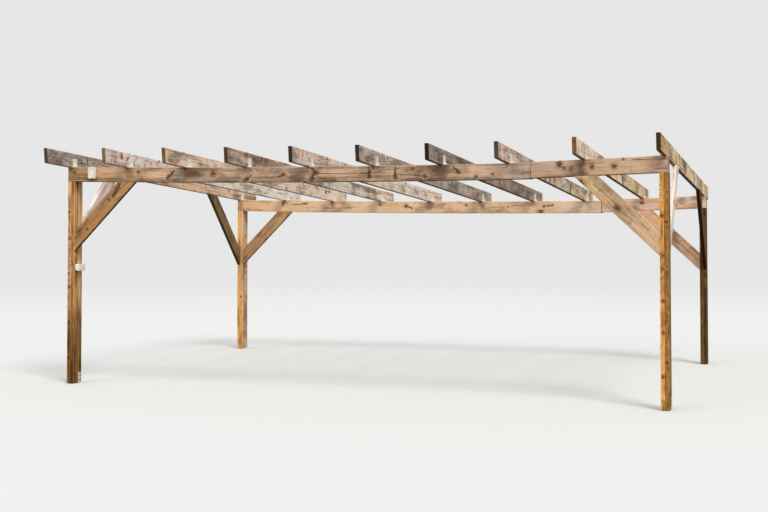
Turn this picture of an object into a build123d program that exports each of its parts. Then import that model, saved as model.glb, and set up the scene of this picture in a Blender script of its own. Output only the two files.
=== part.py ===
"""Wooden garden pergola: four doubled posts, two sagging built-up beams, ten sloping rafters and eight knee braces.

Millimetres. +X runs along the beams, +Y from the open front to the back, +Z up.
The origin is the middle of the footprint on the floor.
"""

from build123d import *
import os
from math import hypot, sqrt

os.makedirs("parts", exist_ok=True)

# Timber
board_thickness = 45.0
board_width = 170.0
board_ease = 2.0
post_plies = 2
beam_plies = 3

# Overall frame
beam_length = 7020.0
beam_spacing = 4620.0
front_clearance = 2400.0
rafter_drop = 283.0

# Beams: each is a long and a short length, spliced near the right-hand end, where both beams have sunk
short_length = 1410.0
tongue_length = 600.0
splice_step = 8.0
splice_gap = 4.0
front_sag = 48.0
rear_sag = 58.0
front_bow = 20.0
rear_bow = 17.0

# Rafters
rafter_count = 10
front_overhang = 505.0
rear_overhang = 445.0
last_bay = 824.0
last_rafter_inset = 15.0
stray_rafter = 8
stray_shift = -30.0
seat_depth = 4.0
front_rake = 20.0

# Knee braces
left_brace_reach = 838.0
left_brace_drop = 830.0
right_brace_reach = 898.0
right_brace_drop = 842.0
brace_overrun = 45.0
side_brace_slope = 1.027
front_side_drop = 825.0
rear_side_drop = 831.0

# Galvanised fittings
angle_leg = 105.0
angle_width = 90.0
angle_plate = 3.0
rib_leg = 38.0
rib_width = 16.0
foot_plate = 5.0
foot_height = 125.0
foot_width = 50.0
foot_offset_share = 0.74

# White plastic boxes
light_box_size = (90.0, 42.0, 132.0)
light_box_x = 297.0
light_box_below_top = 1.0
gland_radius = 7.0
gland_length = 14.0
socket_size = (60.0, 135.0, 80.0)
socket_from_front = 16.0
socket_below_brace = 154.0
box_round = 6.0

# Worked out from the sizes above
post_width = post_plies * board_thickness
beam_depth = beam_plies * board_thickness
splice_reach = beam_length - short_length
rafter_run = front_overhang + beam_spacing + beam_depth + rear_overhang
left = -beam_length / 2
right = beam_length / 2
front = front_overhang - rafter_run / 2
rear = front + beam_spacing
rear_clearance = front_clearance - rafter_drop
first_bays = rafter_count - 2
rafter_pitch = (beam_length - board_thickness - last_rafter_inset - last_bay) / first_bays


def arc_height(x, sag, bow):
    """Height of a sagging beam's edge above its ends, x mm from the left end.

    The long length is an arc of a circle that ends `sag` lower at the splice and dips `bow` below its chord.
    The short length starts a step higher than that and runs straight up to the right-hand end.
    """
    if x >= splice_reach:
        return (splice_step - sag) * (beam_length - x) / short_length
    chord = hypot(splice_reach, sag)
    radius = (chord * chord / 4 + bow * bow) / (2 * bow)
    along = (splice_reach / chord, -sag / chord)
    up = (sag / chord, splice_reach / chord)
    centre_x = along[0] * chord / 2 + up[0] * (radius - bow)
    centre_z = along[1] * chord / 2 + up[1] * (radius - bow)
    return centre_z - sqrt(radius * radius - (x - centre_x) ** 2)


def eased(board, shortest):
    """Takes the sharp corners off a board's edges that are longer than `shortest`."""
    chamfer(board.edges().filter_by(lambda edge: edge.length > shortest), board_ease)


def long_profile(clearance, sag, bow):
    """Side view of a beam's long length, an arc from the left-hand end down to the splice."""
    splice = left + splice_reach
    middle = left + splice_reach / 2
    dip = arc_height(splice_reach / 2, sag, bow)
    top = clearance + board_width
    with BuildSketch() as profile:
        with BuildLine():
            ThreePointArc((left, clearance), (middle, clearance + dip), (splice, clearance - sag))
            Line((splice, clearance - sag), (splice, top - sag))
            ThreePointArc((splice, top - sag), (middle, top + dip), (left, top))
            Line((left, top), (left, clearance))
        make_face()
    return profile.sketch


def short_profile(clearance, sag):
    """Side view of a beam's short length, straight from a step above the splice up to the right-hand end."""
    splice = left + splice_reach
    start = clearance - sag + splice_step
    with BuildSketch() as profile:
        with BuildLine():
            Polyline(
                (splice, start),
                (right, clearance),
                (right, clearance + board_width),
                (splice, start + board_width),
                close=True,
            )
        make_face()
    return profile.sketch


def long_ply(clearance, sag, bow, y_from, x_from, x_to):
    """One ply of the long length, kept from x_from to x_to."""
    kept = ((x_from + x_to) / 2, y_from + board_thickness / 2, clearance + board_width / 2)
    with BuildPart() as board:
        with BuildSketch(Plane.XZ.offset(-y_from)):
            add(long_profile(clearance, sag, bow))
        extrude(amount=-board_thickness)
        eased(board, 2 * board_width)
        with Locations(kept):
            Box(x_to - x_from, board_thickness, 2 * (board_width + sag + bow), mode=Mode.INTERSECT)
    return board.part


def short_ply(clearance, sag, y_from):
    """One ply of the short length."""
    with BuildPart() as board:
        with BuildSketch(Plane.XZ.offset(-y_from)):
            add(short_profile(clearance, sag))
        extrude(amount=-board_thickness)
        eased(board, 2 * board_width)
    return board.part


def beam_room(clearance, sag, bow, y_from):
    """The room that a whole beam takes. Rafter seats, brace heads and post tops are cut to it."""
    with BuildPart() as room:
        with BuildSketch(Plane.XZ.offset(-y_from)):
            add(long_profile(clearance, sag, bow))
            add(short_profile(clearance, sag))
        extrude(amount=-beam_depth)
    return room.part


def beam_part(label, clearance, sag, bow, y_from, is_left):
    """One of the two lengths of a built-up beam.

    The outer plies meet at the splice. The middle plies meet further left, so the right-hand length
    has a tongue that is held between the outer plies of the left-hand length.
    """
    splice = left + splice_reach
    with BuildPart() as beam:
        for number in range(beam_plies):
            y_ply = y_from + number * board_thickness
            outer = number in (0, beam_plies - 1)
            meet = splice if outer else splice - tongue_length
            if is_left:
                add(long_ply(clearance, sag, bow, y_ply, left, meet - splice_gap))
            else:
                add(short_ply(clearance, sag, y_ply))
            if not is_left and not outer:
                add(long_ply(clearance, sag, bow, y_ply, meet, splice))
    beam.part.label = label
    return beam.part


with BuildSketch() as ply_section:
    Rectangle(board_thickness, board_width)
    chamfer(ply_section.vertices(), board_ease)


def post(label, x_from, y_from, clearance, room):
    """A post of two boards side by side, with the seam on its front and back faces and its top cut to the beam."""
    with BuildPart() as column:
        with BuildSketch(Plane.XY.offset(foot_plate)):
            with Locations((x_from + post_width / 2, y_from + board_width / 2)):
                with GridLocations(board_thickness, board_width, post_plies, 1):
                    add(ply_section.sketch)
        extrude(amount=clearance - foot_plate)
        add(room, mode=Mode.SUBTRACT)
    column.part.label = label
    return column.part


def foot(label, x_from, y_from):
    """The galvanised strap that passes under a post and up both its sides."""
    outside = post_width / 2 + foot_plate
    inside = post_width / 2
    y_middle = y_from + board_width * foot_offset_share
    x_middle = x_from + post_width / 2
    with BuildPart() as strap:
        with BuildSketch(Plane.XZ.offset(-(y_middle - foot_width / 2))):
            with BuildLine():
                Polyline(
                    (x_middle - outside, 0),
                    (x_middle + outside, 0),
                    (x_middle + outside, foot_height),
                    (x_middle + inside, foot_height),
                    (x_middle + inside, foot_plate),
                    (x_middle - inside, foot_plate),
                    (x_middle - inside, foot_height),
                    (x_middle - outside, foot_height),
                    close=True,
                )
            make_face()
        extrude(amount=-foot_width)
        upper = strap.edges().filter_by(Axis.X).group_by(Axis.Z)[-1]
        chamfer(upper, foot_width * 0.16)
    strap.part.label = label
    return strap.part


def rafter_x(number):
    """The left face of rafter 1, 2, 3 and so on."""
    if number == rafter_count:
        return right - last_rafter_inset - board_thickness
    shift = stray_shift if number == stray_rafter else 0
    return left + rafter_pitch * (number - 1) + shift


def seat_heights(number):
    """Where a rafter's middle rests on the front and the rear beam."""
    x = rafter_x(number) + board_thickness / 2 - left
    front_top = front_clearance + board_width + arc_height(x, front_sag, front_bow)
    rear_top = rear_clearance + board_width + arc_height(x, rear_sag, rear_bow)
    return front_top, rear_top


def rafter_board(number):
    """A rafter before its seats are cut: its underside slopes past the front top edge of each beam."""
    front_top, rear_top = seat_heights(number)
    fall = (front_top - rear_top) / beam_spacing
    deep = board_width * sqrt(1 + fall * fall)

    def under(y):
        return front_top - seat_depth - fall * (y - front)

    y_front = front - front_overhang
    y_rear = y_front + rafter_run
    with BuildPart() as board:
        with BuildSketch(Plane.YZ.offset(rafter_x(number))):
            with BuildLine():
                Polyline(
                    (y_front + front_rake, under(y_front + front_rake)),
                    (y_rear, under(y_rear)),
                    (y_rear, under(y_rear) + deep),
                    (y_front, under(y_front) + deep),
                    close=True,
                )
            make_face()
        extrude(amount=board_thickness)
        eased(board, rafter_run / 2)
    return board.part


def rafter(number, rooms):
    """A rafter with a level seat cut into its underside over each beam."""
    with BuildPart() as board:
        add(rafter_board(number))
        for room in rooms:
            add(room, mode=Mode.SUBTRACT)
    board.part.label = f"rafter_{number:02d}"
    return board.part


def brace_outline(start, toe, direction, slope, underside, fall, overrun):
    """Corners of a brace in its own plane.

    It rises at `slope` from a plumb foot at `start` to a line that passes `underside` above the foot's toe
    and falls away at `fall`, and runs past that line by `overrun`.
    """
    foot = board_width * sqrt(1 + slope * slope)
    lower = (underside - toe) / (slope + fall) + overrun
    upper = (underside - toe - foot) / (slope + fall) + overrun
    return (
        (start, toe),
        (start + direction * lower, toe + slope * lower),
        (start + direction * upper, toe + foot + slope * upper),
        (start, toe + foot),
    )


def brace_along_beam(label, x_face, direction, y_from, clearance, room):
    """A brace from the side of a post up to the underside of its beam, flush with the post's front."""
    is_left = direction > 0
    reach, drop = (left_brace_reach, left_brace_drop) if is_left else (right_brace_reach, right_brace_drop)
    corners = brace_outline(x_face, clearance - drop, direction, drop / reach, clearance, 0, brace_overrun)
    with BuildPart() as brace:
        with BuildSketch(Plane.XZ.offset(-y_from)):
            with BuildLine():
                Polyline(*corners, close=True)
            make_face()
        extrude(amount=-board_thickness)
        eased(brace, 2 * board_width)
        add(room, mode=Mode.SUBTRACT)
    brace.part.label = label
    return brace.part


def brace_along_rafter(label, x_from, y_face, direction, toe, number):
    """A brace from the back or front of a post up to the end rafter, flush with the post's outer side."""
    front_top, rear_top = seat_heights(number)
    fall = (front_top - rear_top) / beam_spacing
    underside = front_top - seat_depth - fall * (y_face - front)
    corners = brace_outline(y_face, toe, direction, side_brace_slope, underside, direction * fall, 0)
    with BuildPart() as brace:
        with BuildSketch(Plane.YZ.offset(x_from)):
            with BuildLine():
                Polyline(*corners, close=True)
            make_face()
        extrude(amount=board_thickness)
        eased(brace, 2 * board_width)
    brace.part.label = label
    return brace.part


def rafter_angles(label, clearance, sag, bow, y_from):
    """One ribbed angle bracket a rafter, on its right-hand side, and on the left-hand side of the last one."""
    y_near = y_from + (beam_depth - angle_width) / 2
    with BuildPart() as angles:
        for number in range(1, rafter_count + 1):
            last = number == rafter_count
            side = -1 if last else 1
            x_face = rafter_x(number) + (0 if last else board_thickness)
            ends = (x_face - left, x_face + side * angle_leg - left)
            rest = clearance + board_width + max(arc_height(x, sag, bow) for x in ends) + 0.05
            with BuildSketch(Plane.XZ.offset(-y_near)):
                with BuildLine():
                    Polyline(
                        (x_face, rest),
                        (x_face + side * angle_leg, rest),
                        (x_face + side * angle_leg, rest + angle_plate),
                        (x_face + side * angle_plate, rest + angle_plate),
                        (x_face + side * angle_plate, rest + angle_leg),
                        (x_face, rest + angle_leg),
                        close=True,
                    )
                make_face()
            extrude(amount=-angle_width)
            with BuildSketch(Plane.XZ.offset(-(y_near + (angle_width - rib_width) / 2))):
                with BuildLine():
                    Polyline(
                        (x_face + side * angle_plate, rest + angle_plate),
                        (x_face + side * (angle_plate + rib_leg), rest + angle_plate),
                        (x_face + side * angle_plate, rest + angle_plate + rib_leg),
                        close=True,
                    )
                make_face()
            extrude(amount=-rib_width)
    angles.part.label = label
    return angles.part


def light_box():
    """The white box on the front face of the front beam, with two cable glands under it."""
    wide, deep, tall = light_box_size
    x_middle = left + light_box_x + wide / 2
    sunk = arc_height(light_box_x + wide / 2, front_sag, front_bow)
    z_top = front_clearance + board_width - light_box_below_top + sunk
    with BuildPart() as box:
        with BuildSketch(Plane.XZ.offset(-front)):
            with Locations((x_middle, z_top - tall / 2)):
                Rectangle(wide, tall)
        extrude(amount=deep)
        outer = box.faces().sort_by(Axis.Y)[0]
        fillet(outer.edges() + box.edges().filter_by(Axis.Y), box_round)
        with BuildSketch(Plane.XY.offset(z_top - tall + 1)):
            with Locations((x_middle - wide * 0.3, front - deep / 2), (x_middle + wide * 0.3, front - deep / 2)):
                Circle(gland_radius)
        extrude(amount=-gland_length - 1)
    box.part.label = "light_box"
    return box.part


def socket_box():
    """The white outdoor socket on the inner side of the front left post."""
    out, deep, tall = socket_size
    x_face = left + post_width
    y_middle = front + socket_from_front + deep / 2
    z_middle = front_clearance - left_brace_drop - socket_below_brace - tall / 2
    with BuildPart() as box:
        with BuildSketch(Plane.YZ.offset(x_face)):
            with Locations((y_middle, z_middle)):
                Rectangle(deep, tall)
        extrude(amount=out)
        outer = box.faces().sort_by(Axis.X)[-1]
        fillet(outer.edges() + box.edges().filter_by(Axis.X), box_round)
        with BuildSketch(Plane.YZ.offset(x_face + out * 0.55)):
            with Locations((y_middle, z_middle)):
                Rectangle(deep + 10, tall + 10)
                Rectangle(deep - 4, tall - 4, mode=Mode.SUBTRACT)
        extrude(amount=2, mode=Mode.SUBTRACT)
    box.part.label = "socket_box"
    return box.part


rows = (("front", front, front_clearance, front_sag, front_bow), ("rear", rear, rear_clearance, rear_sag, rear_bow))
rooms = {row: beam_room(clearance, sag, bow, y_row) for row, y_row, clearance, sag, bow in rows}
rafters = {number: rafter(number, rooms.values()) for number in range(1, rafter_count + 1)}
parts = list(rafters.values())

for row, y_row, clearance, sag, bow in rows:
    y_face, along = (y_row + board_width, 1) if row == "front" else (y_row, -1)
    side_toe = clearance - (front_side_drop if row == "front" else rear_side_drop)
    parts.append(rafter_angles(f"{row}_angles", clearance, sag, bow, y_row))
    for side in ("left", "right"):
        is_left = side == "left"
        x_post = left if is_left else right - post_width
        x_face = left + post_width if is_left else right - post_width
        x_side = left if is_left else right - board_thickness
        inward = 1 if is_left else -1
        number = 1 if is_left else rafter_count
        place = f"{row}_{side}"
        room = rooms[row]
        parts.append(beam_part(f"{row}_beam_{side}", clearance, sag, bow, y_row, is_left))
        parts.append(post(f"post_{place}", x_post, y_row, clearance, room))
        parts.append(foot(f"foot_{place}", x_post, y_row))
        parts.append(brace_along_beam(f"beam_brace_{place}", x_face, inward, y_row, clearance, room))
        parts.append(brace_along_rafter(f"side_brace_{place}", x_side, y_face, along, side_toe, number))
parts.append(light_box())
parts.append(socket_box())

for part in parts:
    export_step(part, f"parts/{part.label}.step")
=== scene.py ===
"""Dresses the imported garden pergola: weathered boards, zinc-coated plates and fixings, and two white plastic boxes.

Metres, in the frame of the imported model: +X along the two beams, +Y from the open front to the back, +Z up.
"""

from __future__ import annotations

import logging
import math
from dataclasses import dataclass, field, replace
from enum import Enum
from functools import partial, reduce

import bpy
from mathutils import Matrix, Vector

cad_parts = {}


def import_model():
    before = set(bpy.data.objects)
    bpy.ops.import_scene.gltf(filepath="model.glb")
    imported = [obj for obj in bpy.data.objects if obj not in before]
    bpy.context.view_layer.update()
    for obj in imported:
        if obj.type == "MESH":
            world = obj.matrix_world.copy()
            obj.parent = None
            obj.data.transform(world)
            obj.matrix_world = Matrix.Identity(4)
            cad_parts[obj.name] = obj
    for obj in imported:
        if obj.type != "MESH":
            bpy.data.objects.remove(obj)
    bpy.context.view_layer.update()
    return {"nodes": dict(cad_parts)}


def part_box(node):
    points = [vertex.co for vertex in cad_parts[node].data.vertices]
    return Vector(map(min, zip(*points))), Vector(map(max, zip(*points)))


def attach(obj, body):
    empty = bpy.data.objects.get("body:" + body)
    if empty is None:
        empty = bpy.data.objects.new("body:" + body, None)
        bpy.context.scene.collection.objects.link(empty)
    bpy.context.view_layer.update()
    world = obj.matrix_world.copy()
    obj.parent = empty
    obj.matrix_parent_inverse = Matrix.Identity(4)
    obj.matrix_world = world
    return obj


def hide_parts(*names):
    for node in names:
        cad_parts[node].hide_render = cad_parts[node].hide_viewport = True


LOG = logging.getLogger("pergola")

BOARD_WIDTH = 0.170
BOARD_THICKNESS = 0.045
ROOT_BODY = "root"

Socket = bpy.types.NodeSocket
Piece = bpy.types.Object
Material = bpy.types.Material
Nodes = dict[str, Piece]
Colour = tuple[float, float, float, float]
Tint = tuple[float, float, float]

UP = Vector((0, 0, 1))
TO_RIGHT = Vector((1, 0, 0))
TO_FRONT = Vector((0, -1, 0))
PLAIN: Tint = (1.0, 1.0, 1.0)
NIL: Tint = (0.0, 0.0, 0.0)


def srgb(code: str, tint: Tint = PLAIN) -> Colour:
    """Turns a colour as it looks on a screen into the linear values that a shader takes.

    Args:
        code: Six hexadecimal digits, such as "a8866a".
        tint: Factors for linear red, green and blue.

    Returns:
        Linear red, green and blue, and an alpha of one.
    """
    channels = [int(code[i : i + 2], 16) / 255 for i in (0, 2, 4)]
    linear = [c / 12.92 if c <= 0.04045 else ((c + 0.055) / 1.055) ** 2.4 for c in channels]
    return (linear[0] * tint[0], linear[1] * tint[1], linear[2] * tint[2], 1.0)


class Row(Enum):
    """The two rows of posts, each under its own beam."""

    FRONT = "front"
    REAR = "rear"

    @property
    def inward(self) -> Vector:
        """The direction from this row to the other."""
        return -TO_FRONT if self is Row.FRONT else TO_FRONT


class Side(Enum):
    """The two ends of each row."""

    LEFT = "left"
    RIGHT = "right"

    @property
    def inward(self) -> Vector:
        """The direction from this end to the middle."""
        return TO_RIGHT if self is Side.LEFT else -TO_RIGHT


class Slot(Enum):
    """The material slots for new pieces."""

    GALVANISED = "galvanised"
    PLASTIC = "white_plastic"


class Head(Enum):
    """The heads of the fixings."""

    SCREW = "screw"
    NAIL = "nail"
    BOLT = "bolt"
    FLUSH = "flush"


class Mark(Enum):
    """What a board can show in one place."""

    KNOT = "knot"
    EDGE_KNOT = "knot on a narrow face"
    BRANCH = "branch cut lengthwise"
    CRACK = "drying crack"
    STAIN = "dark stain"
    BLEACH = "pale smear"


Corner = tuple[Row, Side]
FRONT_LEFT, FRONT_RIGHT, REAR_LEFT, REAR_RIGHT = CORNERS = tuple((row, side) for row in Row for side in Side)


def node_name(pattern: str, corner: Corner) -> str:
    """Returns the name of the CAD node at a corner, such as post_front_left for "post_{}_{}"."""
    return pattern.format(corner[0].value, corner[1].value)


@dataclass(frozen=True)
class Feature:
    """One mark on a board.

    Attributes:
        kind: What it is.
        along: Place along the grain from the board's middle.
        up: Place across the board's width from its middle line, or off the middle of the thickness on a narrow face.
        size: Half its breadth.
        reach: Its length, where it is longer than broad.
        lean: The angle in degrees between that length and the grain.
    """

    kind: Mark
    along: float
    up: float
    size: float
    reach: float = 0.0
    lean: float = 0.0


knot = partial(Feature, Mark.KNOT)
edge_knot = partial(Feature, Mark.EDGE_KNOT)
branch = partial(Feature, Mark.BRANCH)
crack = partial(Feature, Mark.CRACK)
stain = partial(Feature, Mark.STAIN, lean=90.0)
bleach = partial(Feature, Mark.BLEACH)


class Graph:
    """A node tree, with one short method for each kind of node that the finishes use."""

    def __init__(self, owner: Material | bpy.types.World, output: str = "OutputMaterial") -> None:
        """Empties the tree of a material or a world and adds its output node.

        Args:
            owner: What the tree belongs to.
            output: The output node's type, without the leading "ShaderNode".
        """
        self.owner = owner
        owner.use_nodes = True
        self.tree = owner.node_tree
        self.tree.nodes.clear()
        self.output = self.add(output)

    def feed(self, socket: Socket, value: object) -> None:
        """Links a socket to another one, or sets its plain value.

        Args:
            socket: The input to fill.
            value: An output socket, a number or a tuple.
        """
        if isinstance(value, bpy.types.NodeSocket):
            self.tree.links.new(value, socket)
        else:
            socket.default_value = value

    def add(self, kind: str, *values: object, **settings: object) -> bpy.types.Node:
        """Adds a node.

        Args:
            kind: Its type, without the leading "ShaderNode".
            *values: What its first inputs get, in their order.
            **settings: Its properties.

        Returns:
            The node.
        """
        node = self.tree.nodes.new(f"ShaderNode{kind}")
        for name, setting in settings.items():
            setattr(node, name, setting)
        for socket, value in zip(node.inputs, values):
            self.feed(socket, value)
        return node

    def coordinates(self) -> Socket:
        """Returns the piece's own object coordinates."""
        return self.add("TexCoord").outputs["Object"]

    def math(self, operation: str, first: object, second: object = 0.0, third: object = 0.0) -> Socket:
        """Returns what a Math node makes of up to three numbers."""
        return self.add("Math", first, second, third, operation=operation).outputs[0]

    def linear(self, value: object, factor: object, shift: object) -> Socket:
        """Returns a number times a factor, plus a shift."""
        return self.math("MULTIPLY_ADD", value, factor, shift)

    def product(self, *factors: object) -> Socket:
        """Returns the product of some numbers."""
        return reduce(partial(self.math, "MULTIPLY"), factors)

    def total(self, *terms: object) -> Socket:
        """Returns the sum of some numbers."""
        return reduce(partial(self.math, "ADD"), terms)

    def vector_math(self, operation: str, first: object, second: object = NIL) -> Socket:
        """Returns what a Vector Math node makes of one or two vectors."""
        node = self.add("VectorMath", first, second, operation=operation)
        return node.outputs["Value" if operation in ("DOT_PRODUCT", "LENGTH") else "Vector"]

    def times(self, vector: object, factor: object) -> Socket:
        """Returns a vector or colour times a number."""
        return self.add("VectorMath", vector, NIL, NIL, factor, operation="SCALE").outputs["Vector"]

    def stretched(self, vector: Socket, scale: Tint) -> Socket:
        """Returns the vector multiplied axis by axis, so that a pattern is long where the scale is small."""
        return self.vector_math("MULTIPLY", vector, scale)

    def split(self, vector: Socket) -> tuple[Socket, Socket, Socket]:
        """Returns the three parts of a vector."""
        node = self.add("SeparateXYZ", vector)
        return node.outputs[0], node.outputs[1], node.outputs[2]

    def joined(self, x: object, y: object, z: object) -> Socket:
        """Returns a vector made of three numbers."""
        return self.add("CombineXYZ", x, y, z).outputs[0]

    def between(self, value: Socket, low: float, high: float) -> Socket:
        """Returns a number held between two others."""
        return self.add("Clamp", value, low, high).outputs[0]

    def noise_node(self, vector: Socket, detail: float, roughness: float) -> bpy.types.Node:
        """Adds a Noise texture of scale one.

        Args:
            vector: Where the pattern is read, in waves.
            detail: How many finer layers it has.
            roughness: How strong those layers are.

        Returns:
            Its node.
        """
        node = self.add("TexNoise", vector)
        for name, value in (("Scale", 1.0), ("Detail", detail), ("Roughness", roughness)):
            node.inputs[name].default_value = value
        return node

    def noise(self, vector: Socket, detail: float = 2.0, roughness: float = 0.5) -> Socket:
        """Reads a Noise texture.

        Args:
            vector: Where the pattern is read, in waves.
            detail: How many finer layers it has.
            roughness: How strong those layers are.

        Returns:
            A value that is mostly between 0.3 and 0.7.
        """
        return self.noise_node(vector, detail, roughness).outputs["Fac"]

    def jitter(self, vector: Socket, reach: Tint) -> Socket:
        """Returns a small random shift, up to half of `reach` each way."""
        colour = self.noise_node(vector, 3.0, 0.6).outputs["Color"]
        return self.stretched(self.vector_math("SUBTRACT", colour, (0.5, 0.5, 0.5)), reach)

    def cells(self, vector: Socket, scale: float) -> tuple[Socket, Socket]:
        """Adds a Voronoi texture.

        Args:
            vector: Where the pattern is read.
            scale: How many cells there are to a metre.

        Returns:
            The distance to the nearest cell's point, and that cell's random colour.
        """
        node = self.add("TexVoronoi", vector)
        node.inputs["Scale"].default_value = scale
        return node.outputs["Distance"], node.outputs["Color"]

    def ramp(self, value: Socket, start: object, end: object, low: float = 0.0, high: float = 1.0) -> Socket:
        """Turns a range of values smoothly into another.

        Args:
            value: What is read.
            start: The value that becomes `low`.
            end: The value that becomes `high`; it may be below `start`.
            low: Result at the start.
            high: Result at the end.

        Returns:
            The result, held at low and high outside the range.
        """
        return self.add("MapRange", value, start, end, low, high, interpolation_type="SMOOTHSTEP").outputs[0]

    def mixed(self, factor: object, first: object, second: object) -> Socket:
        """Blends two colours.

        Args:
            factor: How much of the second colour there is.
            first: The first colour.
            second: The second colour.

        Returns:
            The blend.
        """
        node = self.add("Mix", factor, data_type="RGBA", clamp_factor=True)
        self.feed(node.inputs[6], first)
        self.feed(node.inputs[7], second)
        return node.outputs[2]

    def bumped(self, height: Socket, distance: float, strength: float = 1.0) -> Socket:
        """Adds a Bump node.

        Args:
            height: The relief, where 1 is the whole distance.
            distance: That distance in metres.
            strength: How much of the relief shows.

        Returns:
            The bumped normal.
        """
        node = self.add("Bump")
        for name, value in (("Strength", strength), ("Distance", distance), ("Height", height)):
            self.feed(node.inputs[name], value)
        return node.outputs["Normal"]

    def surface(self, colour: Socket, roughness: object, normal: Socket, **settings: float) -> Material:
        """Ends the tree in a Principled shader.

        Args:
            colour: Base colour.
            roughness: Roughness number or socket.
            normal: Bumped normal.
            **settings: Values for the shader's own sockets, with underscores for spaces.

        Returns:
            The finished material.
        """
        shader = self.add("BsdfPrincipled")
        for name, value in {"Base_Color": colour, "Roughness": roughness, "Normal": normal, **settings}.items():
            self.feed(shader.inputs[name.replace("_", " ")], value)
        self.feed(self.output.inputs["Surface"], shader.outputs[0])
        return self.owner


@dataclass(frozen=True)
class TimberFinish:
    """How one board or built-up member has weathered. Colours are six hexadecimal digits.

    Attributes:
        ground: Its mean colour.
        far: Its mean colour towards the far end of the grain, where that differs.
        turning: Where the colour changes, in half lengths from the middle.
        lift: Factor for the whole colour, for faces that get less light.
        streaks: Strength of the dark streaks along the grain.
        greying: Share of the surface that has greyed.
        warmth: Strength of the patches where the wood has kept its resin.
        knots: Strength of the scattered knots.
        branches: Strength of the scattered branches across the board.
        checks: Strength of the scattered drying cracks.
        scars: Strength of the short dark dashes.
        mildew: Strength of the dark runs down the sides.
        ends: Colour of the sawn ends.
        figure: Strength of the rings' loops on the narrow faces.
        flank: Factors for the colour of the wide faces against the narrow ones, partly for different weathering and
            partly as painted light and shade where the sides are lit differently.
        tones: Brightness of each ply, from the low side of the thickness axis.
    """

    ground: str
    far: str | None = None
    turning: tuple[float, float] = (-0.35, 0.75)
    lift: float = 1.0
    streaks: float = 0.3
    greying: float = 0.4
    warmth: float = 0.4
    knots: float = 1.0
    branches: float = 0.5
    checks: float = 1.0
    scars: float = 0.3
    mildew: float = 0.0
    ends: str = "55433a"
    figure: float = 0.3
    flank: Tint = PLAIN
    tones: tuple[float, ...] = (1.0,)


@dataclass(frozen=True)
class Board:
    """A CAD node that is one board, or several side by side, and how its grain lies.

    Attributes:
        node: The node's name.
        finish: How it has weathered.
        seed: Which of the endless boards in the pattern it is.
        along: Direction of the grain.
        across: Direction of the board's width.
        centre: Middle of the member.
        length: Length along the grain.
        plies: How many boards lie side by side.
        bow: How far the middle hangs below the ends.
        seats: Places along X where rafters bear on it, as first place and pitch.
        soaked: How strongly its face is stained below them, at the near and the far end of the grain.
        features: The marks that this board alone has.
    """

    node: str
    finish: TimberFinish
    seed: float
    along: Vector
    across: Vector
    centre: Vector
    length: float
    plies: int = 1
    bow: float = 0.0
    seats: tuple[float, float] | None = None
    soaked: tuple[float, float] = (1.0, 1.0)
    features: tuple[Feature, ...] = ()

    def thickness_direction(self) -> Vector:
        """Returns the direction across the plies."""
        return self.along.cross(self.across).normalized()


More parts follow.
